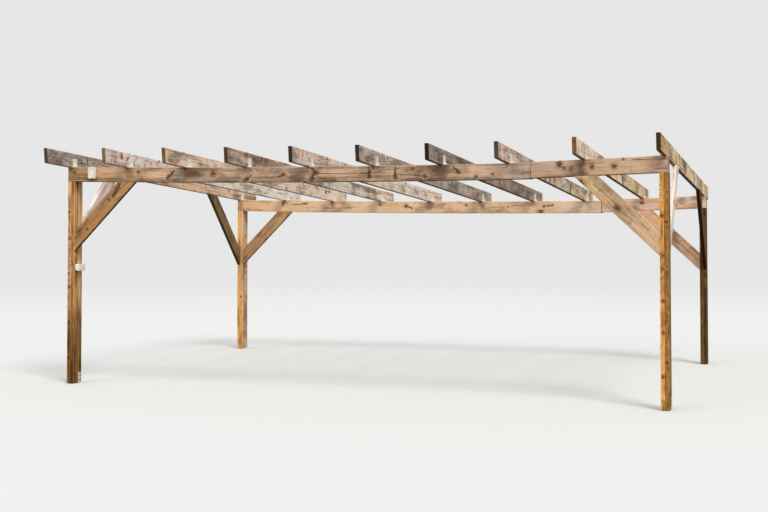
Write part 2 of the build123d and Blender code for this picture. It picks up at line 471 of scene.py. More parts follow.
class TimberShader:
    """Builds one board's material: rings, streaks, knots, drying cracks, greying, end grain and runs of mildew.

    The tints are factors for the board's mean colour.
    """

    RING_WIDTH = 0.0052
    KNOT_CELLS = 6.0
    WHORL_PITCH = 0.42
    ELSEWHERE = 9.0
    LIGHT: Tint = (1.52, 1.5, 1.48)
    DARK: Tint = (0.38, 0.31, 0.25)
    WARM: Tint = (1.14, 0.97, 0.74)
    SILVER: Tint = (1.03, 1.0, 0.95)
    # Paler long edges: partly wear, partly a painted highlight on the upper edges of lying boards.
    WORN_AND_HIGHLIT_ARRIS: Tint = (1.75, 1.7, 1.62)
    # Painted shade along the lower long edges of a lying board.
    LOWER_ARRIS_SHADE: Tint = (0.4, 0.33, 0.26)
    DULL_TOP: Tint = (0.42, 0.4, 0.38)
    # Painted shade on faces that look downwards.
    UNDERSIDE_SHADE: Tint = (0.27, 0.2, 0.14)
    BLEACHED: Tint = (1.9, 1.8, 1.7)
    STAINED: Tint = (0.3, 0.23, 0.17)
    BRANCH: Tint = (0.26, 0.19, 0.14)
    SCAR: Tint = (0.27, 0.2, 0.15)
    MILDEW: Tint = (0.2, 0.17, 0.14)
    LOOP: Tint = (0.34, 0.25, 0.17)
    FLAME: Tint = (1.7, 1.5, 1.25)
    KNOT_RIM: Tint = (0.5, 0.36, 0.25)
    KNOT_LIGHT: Tint = (0.34, 0.21, 0.13)
    KNOT_DARK: Tint = (0.12, 0.08, 0.05)
    CRACK_COLOUR = "1d130c"
    GROOVE_COLOUR = "21170f"
    PALEST = 0.97
    RELIEF = 0.0016

    def __init__(self, board: Board) -> None:
        """Sets up the coordinates that every pattern on the board shares.

        Args:
            board: The board to dress.
        """
        self.board = board
        self.finish = board.finish
        self.half = board.length / 2
        self.graph = g = Graph(bpy.data.materials.new(f"timber_{board.node}"))
        across_plies = board.thickness_direction()
        turn = Matrix((board.along, board.across, across_plies))
        self.object_coordinates = g.coordinates()
        mapping = g.add("Mapping", self.object_coordinates)
        mapping.inputs["Rotation"].default_value = turn.to_euler("XYZ")
        mapping.inputs["Location"].default_value = -(turn @ board.centre)
        self.u, self.v, self.through = g.split(mapping.outputs["Vector"])
        if board.bow:
            share = g.product(self.u, 1 / self.half)
            self.v = g.total(self.v, g.linear(g.product(share, share), -board.bow, board.bow))
        raised = g.linear(self.through, 1 / BOARD_THICKNESS, board.plies / 2)
        self.ply = g.between(g.math("FLOOR", raised), 0.0, board.plies - 1.0)
        middle = g.linear(self.ply, BOARD_THICKNESS, -(board.plies - 1) / 2 * BOARD_THICKNESS)
        self.w = g.math("SUBTRACT", self.through, middle)
        shifted = g.linear(self.ply, 3.7, board.seed * 5.3)
        offset = g.joined(shifted, g.product(shifted, 0.61), g.product(shifted, 0.37))
        self.grain = g.vector_math("ADD", g.joined(self.u, self.v, self.w), offset)
        self.fibre = self.waves(5.0, 210.0, 3.0, 0.6)
        normal = g.add("NewGeometry").outputs["True Normal"]
        self.facing_end = g.math("ABSOLUTE", g.vector_math("DOT_PRODUCT", normal, tuple(board.along)))
        self.facing_wide = g.math("ABSOLUTE", g.vector_math("DOT_PRODUCT", normal, tuple(across_plies)))
        self.facing_up = g.split(normal)[2]
        self.ground = self.grounded()

    def waves(self, along: float, across: float, detail: float = 2.0, roughness: float = 0.5) -> Socket:
        """Reads noise that runs with the grain.

        Args:
            along: Waves to a metre along the grain.
            across: Waves to a metre across it.
            detail: How many finer layers it has.
            roughness: How strong those layers are.

        Returns:
            A value that is mostly between 0.3 and 0.7.
        """
        return self.graph.noise(self.graph.stretched(self.grain, (along, across, across)), detail, roughness)

    def shifts(self, along: float, across: float, reach: Tint) -> Socket:
        """Returns small random shifts whose pattern has that many waves to a metre."""
        return self.graph.jitter(self.graph.stretched(self.grain, (along, across, across)), reach)

    def grounded(self) -> object:
        """Works out the mean colour, which may change along the board.

        Returns:
            The colour, as three numbers or a socket.
        """
        g, finish = self.graph, self.finish
        near = srgb(finish.ground, (finish.lift,) * 3)
        if finish.far is None:
            return near[:3]
        place = g.linear(self.waves(0.9, 5.0), self.board.length * 0.35, self.u)
        start, end = (share * self.half for share in finish.turning)
        return g.mixed(g.ramp(place, start, end), near, srgb(finish.far, (finish.lift,) * 3))

    def tinted(self, tint: Tint) -> Socket:
        """Returns the mean colour with its three parts multiplied."""
        return self.graph.vector_math("MULTIPLY", self.ground, tint)

    def laid(self, colour: Socket, mask: Socket, tint: Tint) -> Socket:
        """Returns the colour with the tinted mean colour over it, as strongly as the mask says."""
        return self.graph.mixed(mask, colour, self.tinted(tint))

    def nearest(self, place: Socket, *kinds: Mark) -> Socket | None:
        """Measures how far each point is from the board's own marks of some kinds.

        Args:
            place: Where on the board, along and up.
            *kinds: The kinds of mark.

        Returns:
            The distance to the nearest in its sizes, or None where the board has no such mark.
        """
        g = self.graph
        total: Socket | None = None
        for feature in self.board.features:
            if feature.kind not in kinds:
                continue
            offset = g.vector_math("SUBTRACT", place, (feature.along, feature.up, 0.0))
            size: object = feature.size
            if feature.reach:
                lean, half = math.radians(feature.lean), feature.reach / 2
                direction = (math.cos(lean), math.sin(lean), 0.0)
                slide = g.between(g.vector_math("DOT_PRODUCT", offset, direction), -half, half)
                offset = g.vector_math("SUBTRACT", offset, g.times(direction, slide))
                if feature.kind is Mark.BRANCH:
                    size = g.ramp(slide, -half, half, 0.3 * feature.size, 1.2 * feature.size)
            share = g.math("DIVIDE", g.vector_math("LENGTH", offset), size)
            total = share if total is None else g.math("MINIMUM", total, share)
        return total

    def knots(self) -> tuple[Socket, Socket, Socket]:
        """Puts in the board's own knots and branches, and scatters small knots between them.

        Returns:
            The knots themselves, the disturbed grain round them, and the distance to the nearest in its sizes.
        """
        g = self.graph
        swirl = self.shifts(26.0, 40.0, (0.035, 0.03, 0.0))
        bent = g.vector_math("ADD", self.shifts(12.0, 26.0, (0.06, 0.03, 0.0)), swirl)
        x, y, z = g.split(self.grain)
        depth = g.product(z, g.ramp(self.facing_wide, 0.6, 0.4, 0.34, 1.0))
        distance, colour = g.cells(g.joined(g.product(x, 0.7), y, depth), self.KNOT_CELLS)
        radius = g.math("MAXIMUM", g.linear(g.split(colour)[0], 0.042, -0.021), 0.0004)
        share = g.math("DIVIDE", g.math("DIVIDE", distance, self.KNOT_CELLS), radius)
        share = g.total(share, (1.0 - self.finish.knots) * 2.0)
        on_wide = g.vector_math("ADD", g.joined(self.u, self.v, 0.0), bent)
        on_narrow = g.vector_math("ADD", g.joined(self.u, self.through, 0.0), swirl)
        for own, hidden in (
            (self.nearest(on_wide, Mark.KNOT, Mark.BRANCH), (0.6, 0.4)),
            (self.nearest(on_narrow, Mark.EDGE_KNOT), (0.4, 0.6)),
        ):
            if own is not None:
                away = g.ramp(self.facing_wide, *hidden, 0.0, self.ELSEWHERE)
                share = g.math("MINIMUM", share, g.total(own, away))
        ragged = self.waves(30.0, 62.0, 3.0, 0.6)
        share = g.math("MAXIMUM", g.total(share, g.linear(ragged, 1.6, -0.8)), 0.0)
        return g.ramp(share, 1.45, 0.7), g.ramp(share, 4.2, 1.0), share

    def rings(self, halo: Socket, share: Socket) -> Socket:
        """Draws the growth rings as the saw has cut through them.

        Args:
            halo: Where the grain runs round a knot.
            share: Distance to the nearest knot in its sizes.

        Returns:
            How dark each ring is.
        """
        g = self.graph
        pith_v = 0.05 * math.sin(self.board.seed * 2.3)
        pith_w = 0.055 + 0.03 * math.sin(self.board.seed * 4.1)
        sway = g.linear(self.waves(0.55, 3.0), 0.13, -0.065)
        dv = g.total(g.math("SUBTRACT", self.v, pith_v), sway)
        dw = g.math("SUBTRACT", self.w, pith_w)
        radius = g.vector_math("LENGTH", g.joined(dv, dw, 0.0))
        wavy = g.total(radius, g.linear(self.waves(3.0, 26.0), 0.006, -0.003))
        round_knot = g.product(share, -0.011)
        wavy = g.total(wavy, g.product(halo, g.math("SUBTRACT", round_knot, wavy)))
        phase = g.math("FRACT", g.math("DIVIDE", wavy, self.RING_WIDTH))
        return g.product(g.ramp(phase, 0.25, 0.85), g.ramp(phase, 1.0, 0.93))

    def loops(self) -> Socket:
        """Draws the wavy loops that a flat cut makes of the rings on the narrow faces.

        Returns:
            How dark the line is.
        """
        g = self.graph
        level = g.noise(g.stretched(self.grain, (4.0, 6.0, 24.0)), detail=1.0)
        phase = g.math("FRACT", g.product(level, 8.0))
        line = g.product(g.ramp(phase, 0.4, 0.9), g.ramp(phase, 1.0, 0.93))
        return g.product(line, g.ramp(self.facing_wide, 0.6, 0.4, 0.0, self.finish.figure))

    def cracks(self) -> Socket:
        """Opens long drying cracks on the wide faces, the board's own ones among them, and scatters short ones.

        Returns:
            1 inside a crack and 0 on sound wood.
        """
        g = self.graph
        place = g.joined(g.total(self.u, self.board.seed * 3.9), g.product(self.ply, 4.3), 0.0)
        wander = g.noise(g.stretched(place, (0.55, 1.0, 1.0)), detail=1.0)
        jagged = g.noise(g.stretched(place, (9.0, 1.0, 1.0)), detail=3.0)
        open_here = g.noise(g.stretched(place, (1.1, 1.0, 1.0)), detail=1.0)
        level = g.linear(wander, 0.34, g.linear(jagged, 0.012, -0.176))
        line = g.math("ABSOLUTE", g.math("SUBTRACT", self.v, level))
        width = g.ramp(open_here, 0.46, 0.62, 0.0, 0.0022 * self.finish.checks)
        total = g.ramp(line, g.total(width, 0.0008), g.product(width, 0.5))
        total = g.product(total, g.ramp(open_here, 0.47, 0.50, 0.0, min(1.0, self.finish.checks)))
        bent = g.linear(jagged, 0.014, g.total(self.v, -0.007))
        own = self.nearest(g.joined(self.u, bent, 0.0), Mark.CRACK)
        if own is not None:
            total = g.math("MAXIMUM", total, g.ramp(own, 1.1, 0.6))
        total = g.product(total, g.ramp(self.facing_wide, 0.5, 0.8))
        short = g.ramp(self.waves(4.5, 88.0, 1.0), 0.62, 0.69)
        scattered = g.product(short, g.ramp(self.waves(1.3, 7.0, 1.0), 0.44, 0.56))
        return g.math("MAXIMUM", total, g.product(scattered, min(1.0, 0.75 * self.finish.checks)))

    def branches(self) -> Socket:
        """Draws the dark lines that cross a board where the tree had a ring of branches.

        Returns:
            1 on such a line.
        """
        g = self.graph
        spot = g.joined(g.product(self.u, 3.0), g.product(self.v, 16.0), self.board.seed)
        leaning = g.linear(g.noise(spot, detail=3.0), 0.07, g.total(self.u, self.board.seed * 7.7 - 0.035))
        distance, colour = g.cells(g.joined(leaning, 0.0, g.product(self.ply, 5.1)), 1 / self.WHORL_PITCH)
        pick = g.split(colour)[0]
        narrow = g.ramp(g.product(distance, self.WHORL_PITCH), g.linear(pick, 0.009, 0.002), 0.001)
        return g.product(narrow, g.product(g.ramp(self.waves(1.0, 11.0), 0.44, 0.56), g.ramp(pick, 0.25, 0.6)))

    def mildew(self) -> Socket:
        """Lets dark runs of uneven length come down the sides from the upper edge, more towards the far end.

        Returns:
            How dark the run is.
        """
        g = self.graph
        x, y, z = g.split(self.object_coordinates)
        level = g.total(x, y)
        lean = g.product(z, 0.8)
        rain = g.noise(g.joined(g.product(level, 15.0), lean, self.board.seed), detail=3.0, roughness=0.7)
        crowd = g.noise(g.joined(g.product(level, 2.1), lean, 5.7), detail=1.0)
        wet = g.ramp(g.linear(crowd, 0.4, rain), 0.66, 0.75)
        length = g.noise(g.joined(g.product(level, 7.0), lean, 9.4))
        below = g.linear(self.v, -1 / BOARD_WIDTH, 0.5)
        run = g.ramp(g.math("SUBTRACT", g.ramp(length, 0.36, 0.6, 0.2, 1.3), below), -0.05, 0.3)
        thin = g.joined(g.product(level, 46.0), g.product(z, 5.0), 3.1)
        broken = g.ramp(g.noise(thin, detail=3.0, roughness=0.6), 0.36, 0.52, 0.45, 1.0)
        later = g.ramp(self.u, -0.8 * self.half, -0.4 * self.half, 0.4, 1.0)
        return g.product(run, wet, broken, later, self.finish.mildew)

    def scars(self) -> Socket:
        """Scatters short dark dashes along and across the grain, as old timber collects.

        Returns:
            How dark the dash is.
        """
        g = self.graph
        bent = g.vector_math("ADD", self.grain, self.shifts(16.0, 16.0, (0.05, 0.03, 0.03)))
        along = g.noise(g.stretched(bent, (12.0, 58.0, 58.0)), roughness=0.6)
        crossing = g.noise(g.stretched(bent, (46.0, 7.0, 7.0)))
        fewer = g.ramp(self.u, -0.35 * self.half, 0.15 * self.half, 1.0, 0.3)
        lengthwise = g.product(g.ramp(along, 0.57, 0.63), fewer)
        dashes = g.math("MAXIMUM", lengthwise, g.ramp(crossing, 0.605, 0.665))
        return g.product(dashes, g.ramp(self.waves(2.6, 7.0, 3.0), 0.4, 0.52), self.finish.scars)

    def seat_stains(self) -> Socket | None:
        """Darkens a beam's face below each rafter, where the rain runs off it.

        Returns:
            How dark the stain is, or None on a board that carries no rafters.
        """
        if self.board.seats is None:
            return None
        g = self.graph
        first, pitch = self.board.seats
        x = g.split(self.object_coordinates)[0]
        bays = g.math("DIVIDE", g.math("SUBTRACT", x, first - pitch / 2), pitch)
        off = g.product(g.math("SUBTRACT", g.math("FRACT", bays), 0.5), pitch)
        ragged = g.noise(g.joined(g.product(x, 13.0), g.product(self.v, 9.0), self.board.seed), detail=3.0)
        near = g.ramp(g.math("ABSOLUTE", g.math("SUBTRACT", off, 0.025)), g.linear(ragged, 0.26, -0.04), 0.0)
        near = g.product(near, g.ramp(self.u, -0.7 * self.half, 0.4 * self.half, *self.board.soaked))
        return g.product(near, g.ramp(self.v, -0.09, 0.08, 0.1, 0.7))

    def from_face(self) -> Socket:
        """Returns how deep a point lies in its ply, in metres."""
        return self.graph.math("SUBTRACT", BOARD_THICKNESS / 2, self.graph.math("ABSOLUTE", self.w))

    def arris(self) -> Socket:
        """Measures how far a point on a long face is from the nearest long edge.

        Returns:
            The distance in metres.
        """
        g = self.graph
        from_side = g.math("SUBTRACT", BOARD_WIDTH / 2, g.math("ABSOLUTE", self.v))
        return g.total(g.math("MAXIMUM", from_side, 0.0), g.math("MAXIMUM", self.from_face(), 0.0))

    def end_grain(self, sound: Socket, ring: Socket) -> Socket:
        """Colours the sawn ends, which are darker and show the rings round the pith.

        Args:
            sound: The colour of the long faces.
            ring: How dark each ring is.

        Returns:
            The colour with its ends.
        """
        g = self.graph
        dark = g.total(g.product(ring, 0.4), g.ramp(self.waves(4.0, 22.0, 4.0), 0.36, 0.66, 0.0, 0.6))
        end = g.mixed(dark, srgb(self.finish.ends, (1.25,) * 3), srgb(self.finish.ends, (0.55,) * 3))
        return g.mixed(g.ramp(self.facing_end, 0.6, 0.8), sound, end)

    def seams(self) -> Socket | None:
        """Draws the grooves between neighbouring plies.

        Returns:
            1 in a groove, or None where there is one ply.
        """
        g = self.graph
        if self.board.plies == 1:
            return None
        outermost = self.board.plies / 2 * BOARD_THICKNESS - 0.004
        inside = g.math("LESS_THAN", g.math("ABSOLUTE", self.through), outermost)
        return g.product(inside, g.ramp(self.from_face(), 0.0022, 0.0008))

    def toned(self, colour: Socket) -> Socket:
        """Makes each ply a little lighter or darker than its neighbour, and the wide faces unlike the narrow ones.

        Args:
            colour: The colour of the whole member.

        Returns:
            The colour ply by ply.
        """
        g = self.graph
        tones = self.finish.tones
        # The wide faces get their own colour factors: partly weathering, partly painted light and shade for sides that
        # are lit differently.
        if self.finish.flank != PLAIN:
            flank = g.vector_math("MULTIPLY", colour, self.finish.flank)
            colour = g.mixed(g.ramp(self.facing_wide, 0.4, 0.6), colour, flank)
        if len(tones) == 1:
            return colour
        level: object = tones[0]
        for number, tone in enumerate(tones[1:], start=1):
            here = g.math("GREATER_THAN", self.ply, number - 0.5)
            level = g.linear(here, tone - tones[number - 1], level)
        return g.times(colour, level)

    def weathered(self, halo: Socket, ring: Socket) -> Socket:
        """Colours sound wood: rings, streaks, resin, and the grey that sun and rain leave.

        Args:
            halo: Where the grain runs round a knot.
            ring: How dark each ring is.

        Returns:
            The colour without its marks.
        """
        g, finish = self.graph, self.finish
        patch = self.waves(1.1, 6.0, 3.0)
        shade = g.total(
            g.product(ring, g.ramp(patch, 0.35, 0.6, 0.16, 0.42)),
            g.ramp(self.waves(0.55, 11.0, 3.0, 0.6), 0.4, 0.64, 0.0, finish.streaks * 0.7),
            g.ramp(self.waves(1.5, 34.0, 4.0, 0.65), 0.42, 0.64, 0.0, finish.streaks),
            g.ramp(self.fibre, 0.35, 0.7, -0.1, 0.18),
            g.product(halo, 0.3),
            g.ramp(self.waves(2.3, 5.5, 4.0, 0.62), 0.44, 0.66, -0.08, 0.5),
        )
        colour = g.mixed(shade, self.tinted(self.LIGHT), self.tinted(self.DARK))
        resin = g.vector_math("MULTIPLY", colour, self.WARM)
        colour = g.mixed(g.ramp(patch, 0.46, 0.66, 0.0, finish.warmth), colour, resin)
        grey_from = 0.72 - 0.42 * finish.greying
        grey = g.ramp(self.waves(0.75, 7.5, 4.0, 0.6), grey_from - 0.1, grey_from + 0.14, 0.0, 0.85)
        grey = g.math("MAXIMUM", grey, g.ramp(self.facing_up, 0.5, 0.9, 0.0, 0.75))
        return g.mixed(grey, colour, self.silvered(colour))

    def silvered(self, colour: Socket) -> Socket:
        """Takes most of the colour out of wood, as the sun does.

        Args:
            colour: The wood's colour.

        Returns:
            The greyed colour.
        """
        g = self.graph
        level = g.vector_math("DOT_PRODUCT", colour, (0.3, 0.5, 0.2))
        return g.mixed(0.65, colour, g.vector_math("MULTIPLY", g.joined(level, level, level), self.SILVER))

    def edges(self, colour: Socket) -> Socket:
        """Makes the upper edges of a lying board paler, partly as wear and partly as a painted highlight, dulls its
        top, and paints shade along its lower edges and on its downward faces.

        Args:
            colour: The colour of the faces.

        Returns:
            The colour with its edges.
        """
        g = self.graph
        arris = self.arris()
        lying = abs(self.board.across.z)
        # Paler long edges: on a lying board only the upper ones, as a painted highlight mixed with wear; on a standing
        # board every edge, as wear.
        pale = g.product(g.ramp(arris, 0.011, 0.002, 0.0, 0.5), g.ramp(self.v, -0.04, 0.06, 1.0 - lying, 1.0))
        colour = self.laid(colour, pale, self.WORN_AND_HIGHLIT_ARRIS)
        # Painted shade: a dark line along the lower long edges of a lying board.
        lower_edge_shade = g.product(g.ramp(arris, 0.014, 0.001, 0.0, 0.6), g.product(g.ramp(self.v, 0.0, -0.07), lying))
        colour = self.laid(colour, lower_edge_shade, self.LOWER_ARRIS_SHADE)
        colour = self.laid(colour, g.ramp(self.facing_up, 0.5, 0.9, 0.0, 0.45), self.DULL_TOP)
        # Painted shade: faces that look downwards are darkened strongly.
        return self.laid(colour, g.ramp(self.facing_up, -0.4, -0.8, 0.0, 0.9), self.UNDERSIDE_SHADE)

    def marked(self, colour: Socket) -> Socket:
        """Adds the board's own smears and stains, and the scattered branches, scars, mildew and loops.

        Args:
            colour: The colour of sound wood.

        Returns:
            The colour with its marks.
        """
        g, finish = self.graph, self.finish
        place = g.vector_math("ADD", g.joined(self.u, self.v, 0.0), self.shifts(5.0, 9.0, (0.16, 0.08, 0.0)))
        pale = self.nearest(place, Mark.BLEACH)
        if pale is not None:
            colour = self.laid(colour, g.product(g.ramp(pale, 1.2, 0.3), 0.6), self.BLEACHED)
        stained = self.nearest(place, Mark.STAIN)
        darks = [self.seat_stains(), None if stained is None else g.ramp(stained, 1.4, 0.2)]
        darks = [dark for dark in darks if dark is not None]
        if darks:
            dark = darks[0] if len(darks) == 1 else g.math("MAXIMUM", *darks)
            colour = self.laid(colour, g.product(dark, 0.85), self.STAINED)
        if finish.branches:
            colour = self.laid(colour, g.product(self.branches(), 0.8 * finish.branches), self.BRANCH)
        for strength, mask, tint in (
            (finish.scars, self.scars, self.SCAR),
            (finish.mildew, self.mildew, self.MILDEW),
            (finish.figure, self.loops, self.LOOP),
        ):
            if strength:
                colour = self.laid(colour, mask(), tint)
        return colour

    def knotted(self, colour: Socket, core: Socket, share: Socket) -> Socket:
        """Colours the knots, their dark rims and the flamed grain round them.

        Args:
            colour: The colour without knots.
            core: Where a knot is.
            share: Distance to the nearest knot in its sizes.

        Returns:
            The colour with its knots.
        """
        g = self.graph
        flame = g.product(g.ramp(share, 6.5, 3.4), g.ramp(share, 1.6, 2.9), g.ramp(self.fibre, 0.4, 0.6, 0.0, 0.45))
        colour = self.laid(colour, flame, self.FLAME)
        ringed = g.ramp(g.math("FRACT", g.product(share, 2.6)), 0.3, 0.7)
        knot_colour = g.mixed(ringed, self.tinted(self.KNOT_LIGHT), self.tinted(self.KNOT_DARK))
        colour = self.laid(colour, g.ramp(share, 2.4, 1.1, 0.0, 0.5), self.KNOT_RIM)
        return g.mixed(g.product(core, 0.9), colour, knot_colour)

    def build(self) -> Material:
        """Puts the patterns together.

        Returns:
            The finished material.
        """
        g = self.graph
        core, halo, share = self.knots()
        ring = self.rings(halo, share)
        cracked = self.cracks()
        colour = self.marked(self.edges(self.weathered(halo, ring)))
        colour = self.end_grain(self.toned(self.knotted(colour, core, share)), ring)
        colour = g.mixed(g.product(cracked, 0.9), colour, srgb(self.CRACK_COLOUR))
        grooves = self.seams()
        if grooves is not None:
            colour = g.mixed(grooves, colour, srgb(self.GROOVE_COLOUR))
        strongest = g.math("MAXIMUM", g.split(colour)[0], 0.01)
        colour = g.times(colour, g.math("MINIMUM", g.math("DIVIDE", self.PALEST, strongest), 1.0))
        relief = g.linear(self.fibre, 0.55, g.product(ring, -0.25))
        relief = g.math("SUBTRACT", relief, g.product(cracked, 1.6))
        sunk = g.product(halo, g.math("SUBTRACT", 1.0, core))
        relief = g.math("SUBTRACT", relief, g.product(sunk, 0.3))
        rough = g.ramp(self.fibre, 0.3, 0.7, 0.7, 0.9)
        return g.surface(colour, rough, g.bumped(relief, self.RELIEF, 0.7), Specular_IOR_Level=0.28)


@dataclass(frozen=True)
class ZincFinish:
    """Hot-dip zinc that has dulled outdoors.

    Attributes:
        colour: The dull grey.
        bloom: The chalky white that forms on it.
        dirt: The specks of dirt.
        crystals: How many crystals there are to a metre.
        roughness: Mean roughness.
    """

    colour: str = "efe9de"
    bloom: str = "f8f3e9"
    dirt: str = "5f5c55"
    crystals: float = 130.0
    roughness: float = 0.55

    def material(self, name: str) -> Material:
        """Builds the material: crystals of zinc, chalky patches and a little dirt.

        Args:
            name: The material's name.

        Returns:
            The finished material.
        """
        g = Graph(bpy.data.materials.new(name))
        place = g.coordinates()
        edge, crystal = g.cells(place, self.crystals)
        facet = g.split(crystal)[0]
        cloud = g.noise(g.stretched(place, (16.0, 16.0, 16.0)), detail=4.0)
        speck = g.noise(g.stretched(place, (190.0, 190.0, 190.0)))
        dull = srgb(self.colour, (0.72, 0.72, 0.73))
        colour = g.mixed(g.ramp(facet, 0.0, 1.0, 0.0, 0.25), srgb(self.colour), dull)
        colour = g.mixed(g.ramp(cloud, 0.46, 0.66, 0.0, 0.7), colour, srgb(self.bloom))
        colour = g.mixed(g.ramp(speck, 0.6, 0.72, 0.0, 0.45), colour, srgb(self.dirt))
        rough = g.linear(facet, 0.18, self.roughness - 0.09)
        relief = g.linear(speck, 0.6, g.product(edge, 0.3))
        return g.surface(colour, rough, g.bumped(relief, 0.0003), Metallic=0.2)


@dataclass(frozen=True)
class SteelFinish:
    """Bolts, washers, nails and screws: brighter zinc with rust starting in the corners.

    Attributes:
        colour: The metal.
        rust: The rust.
        rusting: Share of the surface that has rusted.
    """

    colour: str = "c2c4c0"
    rust: str = "6d3f22"
    rusting: float = 0.25

    def material(self, name: str) -> Material:
        """Builds the material.

        Args:
            name: The material's name.

        Returns:
            The finished material.
        """
        g = Graph(bpy.data.materials.new(name))
        place = g.coordinates()
        cloud = g.noise(g.stretched(place, (90.0, 90.0, 90.0)), detail=4.0)
        patch = g.noise(g.stretched(place, (7.0, 7.0, 7.0)))
        start = 0.74 - 0.5 * self.rusting
        rust = g.product(g.ramp(cloud, start - 0.12, start + 0.04), g.ramp(patch, 0.4, 0.55))
        colour = g.mixed(g.ramp(cloud, 0.3, 0.7), srgb(self.colour), srgb(self.colour, (0.62, 0.62, 0.62)))
        colour = g.mixed(rust, colour, srgb(self.rust))
        return g.surface(colour, g.linear(rust, 0.35, 0.42), g.bumped(cloud, 0.0003), Metallic=0.5)


@dataclass(frozen=True)
class PlasticFinish:
    """Moulded white plastic that has yellowed a little and caught dirt from the rain.

    Attributes:
        colour: The clean plastic.
        aged: Where the sun has yellowed it.
        dirt: The grime in the runs.
        roughness: Mean roughness.
    """

    colour: str = "fff5ea"
    aged: str = "f6e7d4"
    dirt: str = "a39c8a"
    roughness: float = 0.42

    def material(self, name: str) -> Material:
        """Builds the material: fine moulded grain, yellowed patches and runs of dirt.

        Args:
            name: The material's name.

        Returns:
            The finished material.
        """
        g = Graph(bpy.data.materials.new(name))
        place = g.coordinates()
        x, y, z = g.split(place)
        cloud = g.noise(g.stretched(place, (11.0, 11.0, 11.0)), detail=3.0)
        level = g.total(g.product(x, 90.0), g.product(y, 90.0))
        runs = g.noise(g.joined(level, 0.0, g.product(z, 14.0)), detail=4.0, roughness=0.6)
        moulded = g.noise(g.stretched(place, (900.0, 900.0, 900.0)), detail=1.0)
        colour = g.mixed(g.ramp(cloud, 0.4, 0.7), srgb(self.colour), srgb(self.aged))
        colour = g.mixed(g.ramp(runs, 0.56, 0.78, 0.0, 0.45), colour, srgb(self.dirt))
        rough = g.ramp(runs, 0.5, 0.75, self.roughness, self.roughness + 0.25)
        return g.surface(colour, rough, g.bumped(moulded, 0.0002, 0.6), Specular_IOR_Level=0.45)


